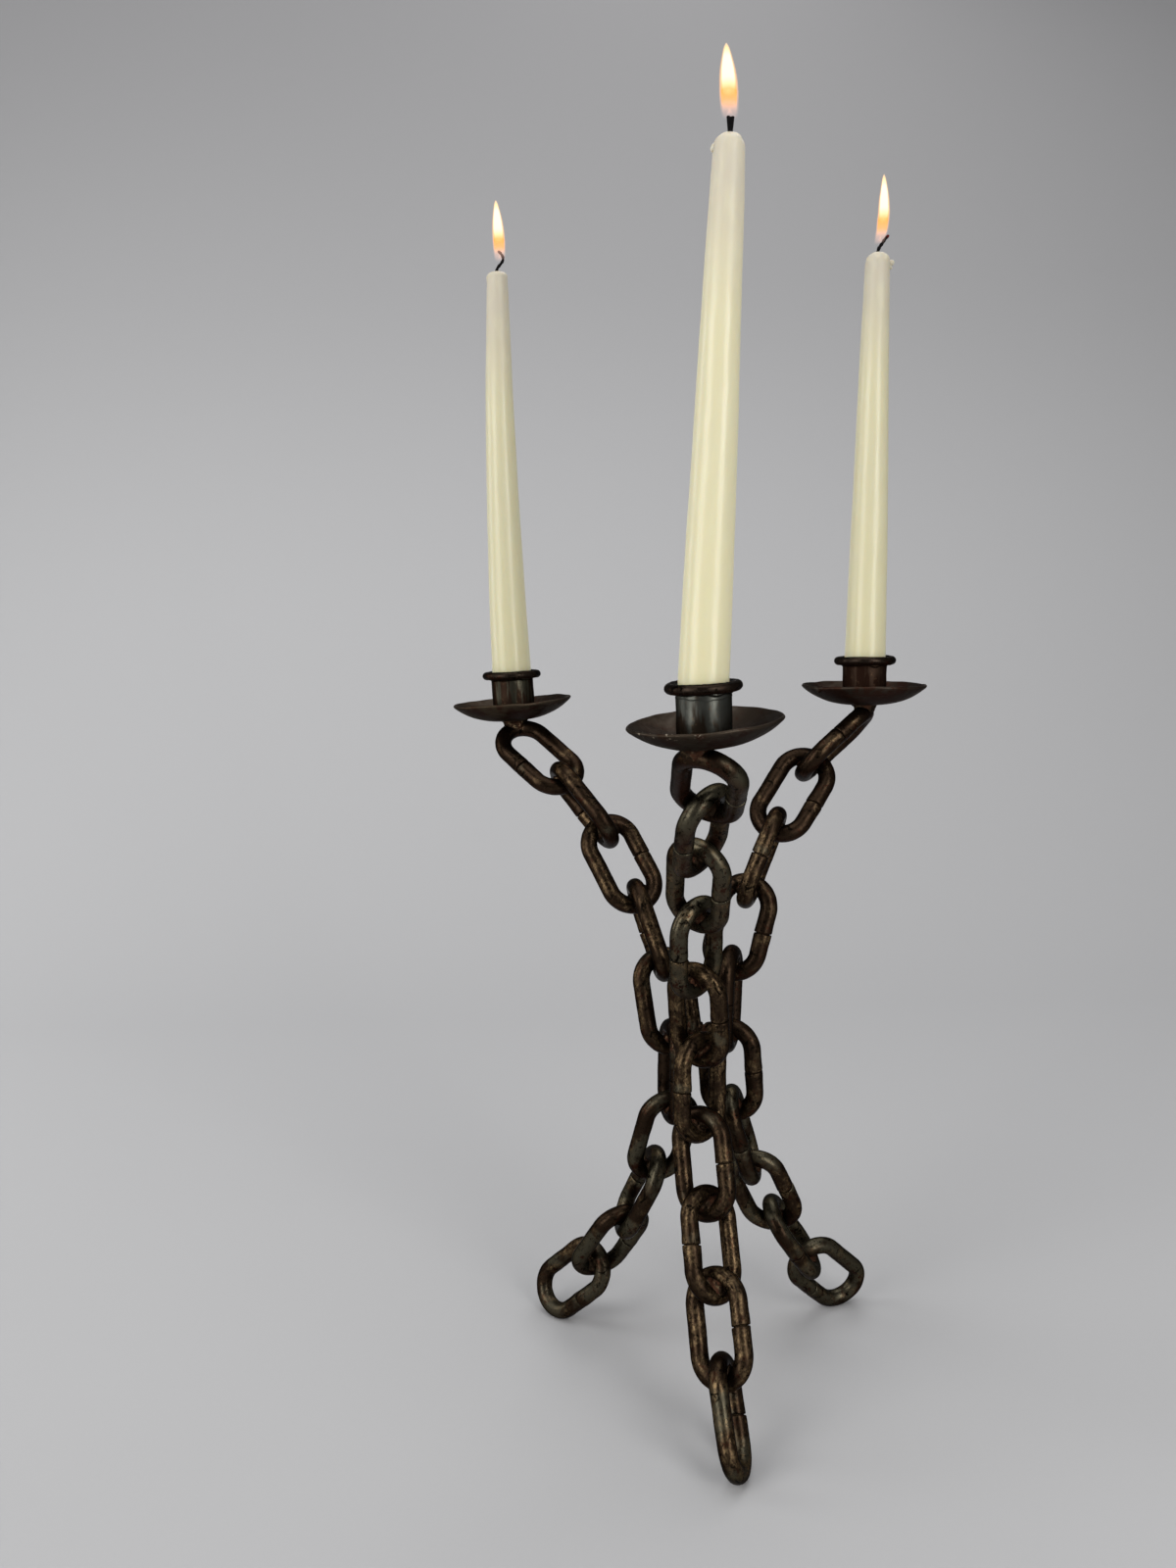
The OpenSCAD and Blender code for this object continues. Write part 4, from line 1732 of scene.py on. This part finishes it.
@dataclass
class Studio:
    """Floor, backdrop, lamps, world and camera."""

    camera_at: tuple = (-0.05637, -0.63976, 0.43123)
    pitch: float = 8.941
    roll: float = -1.645
    lens: float = 29.111
    sensor: float = 36.0
    half_width: float = 3.2
    near: float = -2.6
    back: float = 1.5
    fold_r: float = 0.9
    high: float = 3.4
    room_grey: Colour = (0.50, 0.50, 0.505)
    room_light: float = 0.46

    def build_sweep(self, finish: bpy.types.Material) -> None:
        """Lays the floor and bends it up into the backdrop.

        Args:
            finish: Material of the paper.
        """
        fold = self.back - self.fold_r
        line = [(self.near, 0.0), (0.0, 0.0), (fold, 0.0)]
        for q in np.linspace(0, 90, 19)[1:]:
            a = math.radians(q)
            line.append((fold + self.fold_r * math.sin(a), self.fold_r * (1 - math.cos(a))))
        line.append((self.back, self.high))
        points = [(x, y, z) for y, z in line for x in (-self.half_width, self.half_width)]
        faces = [(2 * i, 2 * i + 1, 2 * i + 3, 2 * i + 2) for i in range(len(line) - 1)]
        sweep = mesh_piece("paper_sweep", np.array(points), faces, REST, finish)

    def build_lamp(
        self, name: str, at: tuple, aim: tuple, size: tuple, power: float, tint: Colour
    ) -> None:
        """Hangs one soft oblong lamp.

        Args:
            name: Name of the lamp.
            at: Its place.
            aim: The point that it faces.
            size: Its width and height.
            power: Watts.
            tint: Colour of its light.
        """
        lamp = bpy.data.lights.new(name, "AREA")
        lamp.shape = "RECTANGLE"
        lamp.size, lamp.size_y = size
        lamp.energy, lamp.color = power, tint
        hung = bpy.data.objects.new(name, lamp)
        bpy.context.scene.collection.objects.link(hung)
        hung.location = at
        hung.rotation_euler = (Vector(aim) - Vector(at)).to_track_quat("-Z", "Y").to_euler()
        log.info("lamp %s: %.1f W", name, power)

    def build_world(self) -> None:
        """Sets the light of the room all round."""
        world = bpy.data.worlds.new("room_light")
        world.use_nodes = True
        back = world.node_tree.nodes["Background"]
        back.inputs["Color"].default_value = (*self.room_grey, 1.0)
        back.inputs["Strength"].default_value = self.room_light
        bpy.context.scene.world = world

    def build_camera(self) -> None:
        """Sets the camera at its solved place and angle."""
        p, r = math.radians(self.pitch), math.radians(self.roll)
        ahead = np.array([0, math.cos(p), -math.sin(p)])
        over = np.array([0, math.sin(p), math.cos(p)])
        side = np.array([1.0, 0.0, 0.0])
        right = math.cos(r) * side + math.sin(r) * over
        top = math.cos(r) * over - math.sin(r) * side
        lens = bpy.data.cameras.new("eye")
        lens.lens, lens.sensor_width, lens.sensor_fit = self.lens, self.sensor, "AUTO"
        lens.clip_start, lens.clip_end = 0.01, 50.0
        eye = bpy.data.objects.new("eye", lens)
        bpy.context.scene.collection.objects.link(eye)
        axes = np.column_stack([right, top, -ahead])
        eye.matrix_world = Pose(np.array(self.camera_at), axes).matrix()
        bpy.context.scene.camera = eye

    def build(self) -> None:
        """Sets up the whole studio."""
        self.build_sweep(SweepPaper().make())
        for lamp in LAMPS:
            self.build_lamp(*lamp)
        self.build_world()
        self.build_camera()
        bpy.context.scene.view_settings.view_transform = "Standard"


# Name, width, start and end of each layer of a flame, and its light
FLAME_LAYERS = (
    ("halo", 1.0, 0.0, 1.0, FlameGlow("flame_halo", 1.5, (
        (0.00, (1.00, 0.70, 0.62), 0.02),
        (0.10, (1.00, 0.62, 0.48), 0.07),
        (0.35, (1.00, 0.52, 0.24), 0.24),
        (0.85, (1.00, 0.58, 0.28), 0.26),
        (1.00, (1.00, 0.70, 0.45), 0.30),
    ))),
    ("mantle", 0.84, 0.02, 0.985, FlameGlow("flame_mantle", 1.6, (
        (0.02, (1.00, 0.60, 0.50), 0.02),
        (0.12, (1.00, 0.58, 0.42), 0.12),
        (0.20, (1.00, 0.37, 0.10), 0.46),
        (0.34, (1.00, 0.30, 0.02), 0.72),
        (0.50, (1.00, 0.72, 0.40), 0.44),
        (0.84, (1.00, 0.78, 0.45), 0.42),
        (1.00, (1.00, 0.60, 0.22), 0.42),
    ))),
    ("core", 0.66, 0.29, 0.95, FlameGlow("flame_core", 2.0, (
        (0.30, (1.00, 0.62, 0.22), 0.00),
        (0.40, (1.00, 0.82, 0.50), 0.45),
        (0.52, (1.00, 0.94, 0.78), 0.66),
        (0.82, (1.00, 0.94, 0.78), 0.66),
        (0.94, (1.00, 0.68, 0.32), 0.35),
    ))),
)

# Each candle's own sizes; the ways are pairs in mm, and a flame's are shares of height and mm
CANDLE_PLANS = {
    Arm.LEFT: dict(
        wick_way=(
            (-0.2, -0.8), (-0.2, 0.8), (0.2, 2.0), (2.1, 4.0),
            (3.7, 6.0), (3.6, 8.0), (2.4, 9.8), (0.9, 11.0),
        ),
        flame_way=((0, 1.9), (0.35, 1.7), (0.7, 1.3), (1, 0.9)),
        flame_foot=6.0 * MM,
        flame_tall=31.6 * MM,
        flame_wide=6.9 * MM,
        dome=2.9 * MM,
        bow=-1.0 * MM,
        bend=1.45 * MM,
        seed=11,
        foot_r=11.35 * MM,
        top_r=5.75 * MM,
        belly=0.40 * MM,
        wick_r=0.76 * MM,
    ),
    Arm.RIGHT: dict(
        wick_way=((0, -0.8), (0, 0.5), (0.7, 2.7), (2.4, 4.8), (3.8, 7.1), (5.6, 8.8)),
        flame_way=((0, 0.5), (0.2, 1.9), (0.45, 2.6), (0.75, 2.4), (1, 2.0)),
        flame_foot=4.6 * MM,
        flame_tall=34.7 * MM,
        flame_wide=6.3 * MM,
        dome=5.7 * MM,
        dome_x=0.3 * MM,
        seed=12,
        foot_r=11.25 * MM,
        wick_r=0.84 * MM,
        nubs=((6.9, 5.2, 2.1, 1.5, 0.15), (6.3, 7.4, 1.6, 1.4, 0.3)),
    ),
    Arm.FRONT: dict(
        wick_way=((0.3, -0.8), (0.3, 0.7), (0.25, 2.8), (0.1, 6.3)),
        flame_way=((0, -0.1), (0.15, -0.6), (0.45, -1.3), (0.7, -2.1), (1, -3.0)),
        flame_foot=6.3 * MM,
        flame_tall=27.3 * MM,
        flame_wide=7.6 * MM,
        dome=5.9 * MM,
        bend=-0.3 * MM,
        seed=13,
        foot_r=11.05 * MM,
        belly=0.50 * MM,
        wick_r=0.72 * MM,
        nubs=((-6.2, 5.9, 1.1, 1.7, 0.1),),
    ),
}

# Each pan's own drips, specks, tones and weld, and each cup's steel
PAN_PLANS = {
    Arm.LEFT: dict(
        drips=((-38, 0.95, 0.5), (-31, 0.96, 0.7), (-25, 0.97, 0.5)),
        rusty=0.03,
        olive=0.7,
        weld_reach=7.8 * MM,
        weld_shift=(-3.8 * MM, 0.0, 0.0),
        sink=0.3 * MM,
    ),
    Arm.RIGHT: dict(drips=((-149, 0.97, 1.8),), rusty=0.10, olive=0.0, sink=0.3 * MM),
    Arm.FRONT: dict(specks=(-148, -136, -123, -118, -100), ridge=0.18),
}
CUP_STEELS = {
    Arm.LEFT: CupSteel(
        "left_cup_steel", 0.52, (0.054, 0.050, 0.036), (0.026, 0.015, 0.010), streaky=0.5
    ),
    Arm.RIGHT: CupSteel(
        "right_cup_steel", 0.54, (0.036, 0.022, 0.015), (0.024, 0.0115, 0.0075), rough=0.66
    ),
    Arm.FRONT: CupSteel("front_cup_steel", 0.38, streaky=0.1),
}


def candle_axis(arm: Arm) -> np.ndarray:
    """Finds a candle's direction from its CAD node's longest spread."""
    _, axes = spread(f"{arm.value}_candle")
    return axes[:, 2] * math.copysign(1, axes[2, 2])


def build_candles(heads: dict[Arm, PanAndCup]) -> None:
    """Builds the three tapers with their wicks and flames.

    Args:
        heads: The pan and cup of each arm.
    """
    # The side tapers get a darker copy of the wax: painted shade.
    wax, shaded_wax = TaperWax().make(), TaperWax(name="shaded_taper_wax", painted_dimming=0.91).make()
    char, ember = WickChar().make(), WickChar(name="wick_ember", glow=0.35).make()
    layers = [(glow.make(), *layer) for *layer, glow in FLAME_LAYERS]
    for arm, plan in CANDLE_PLANS.items():
        head = heads[arm]
        mouth_at = head.cup.outwards(np.array([0, 0, head.cup_top]))
        mouth = Pose(mouth_at, square_up(candle_axis(arm)))
        points, _ = node_mesh(f"{arm.value}_candle")
        high = mouth.inwards(points)[:, 2]
        candle = Candle(arm=arm, mouth=mouth, tall=float(high.max()), **plan)
        candle.build_wax(wax if arm is Arm.FRONT else shaded_wax, -float(high.min()))
        candle.build_wick(ember if arm is Arm.RIGHT else char, frayed=arm is Arm.FRONT)
        for layer in layers:
            candle.build_flame(*layer)


def main() -> None:
    """Builds every sub-assembly in order and dresses it."""
    logging.basicConfig(level=logging.INFO, format="%(name)s: %(message)s")
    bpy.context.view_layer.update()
    bar, weld, pan = BarPatina().make(), WeldPatina().make(), PanPatina().make()
    wire = BarPatina("wire_patina", (0.024, 0.017, 0.013), (0.085, 0.064, 0.044)).make()
    arms, heads = {}, {}
    for k, arm in enumerate(Arm):
        arms[arm] = ChainArm(arm, LINK_SEED_STEP * (k + 1), LINK_MOODS[arm])
        arms[arm].build(bar, weld)
    WaistWelds(arms).build(weld)
    cups = {arm: steel.make() for arm, steel in CUP_STEELS.items()}
    for k, arm in enumerate(Arm):
        seed = HEAD_SEED + HEAD_SEED_STEP * k
        heads[arm] = PanAndCup(arm, arms[arm].links[0], seed, **PAN_PLANS[arm])
        heads[arm].build_dish(pan)
        heads[arm].build_tube(cups[arm])
        heads[arm].build_ring(wire)
        heads[arm].build_cone(weld)
    build_candles(heads)
    Studio().build()


if __name__ == "__main__":
    main()
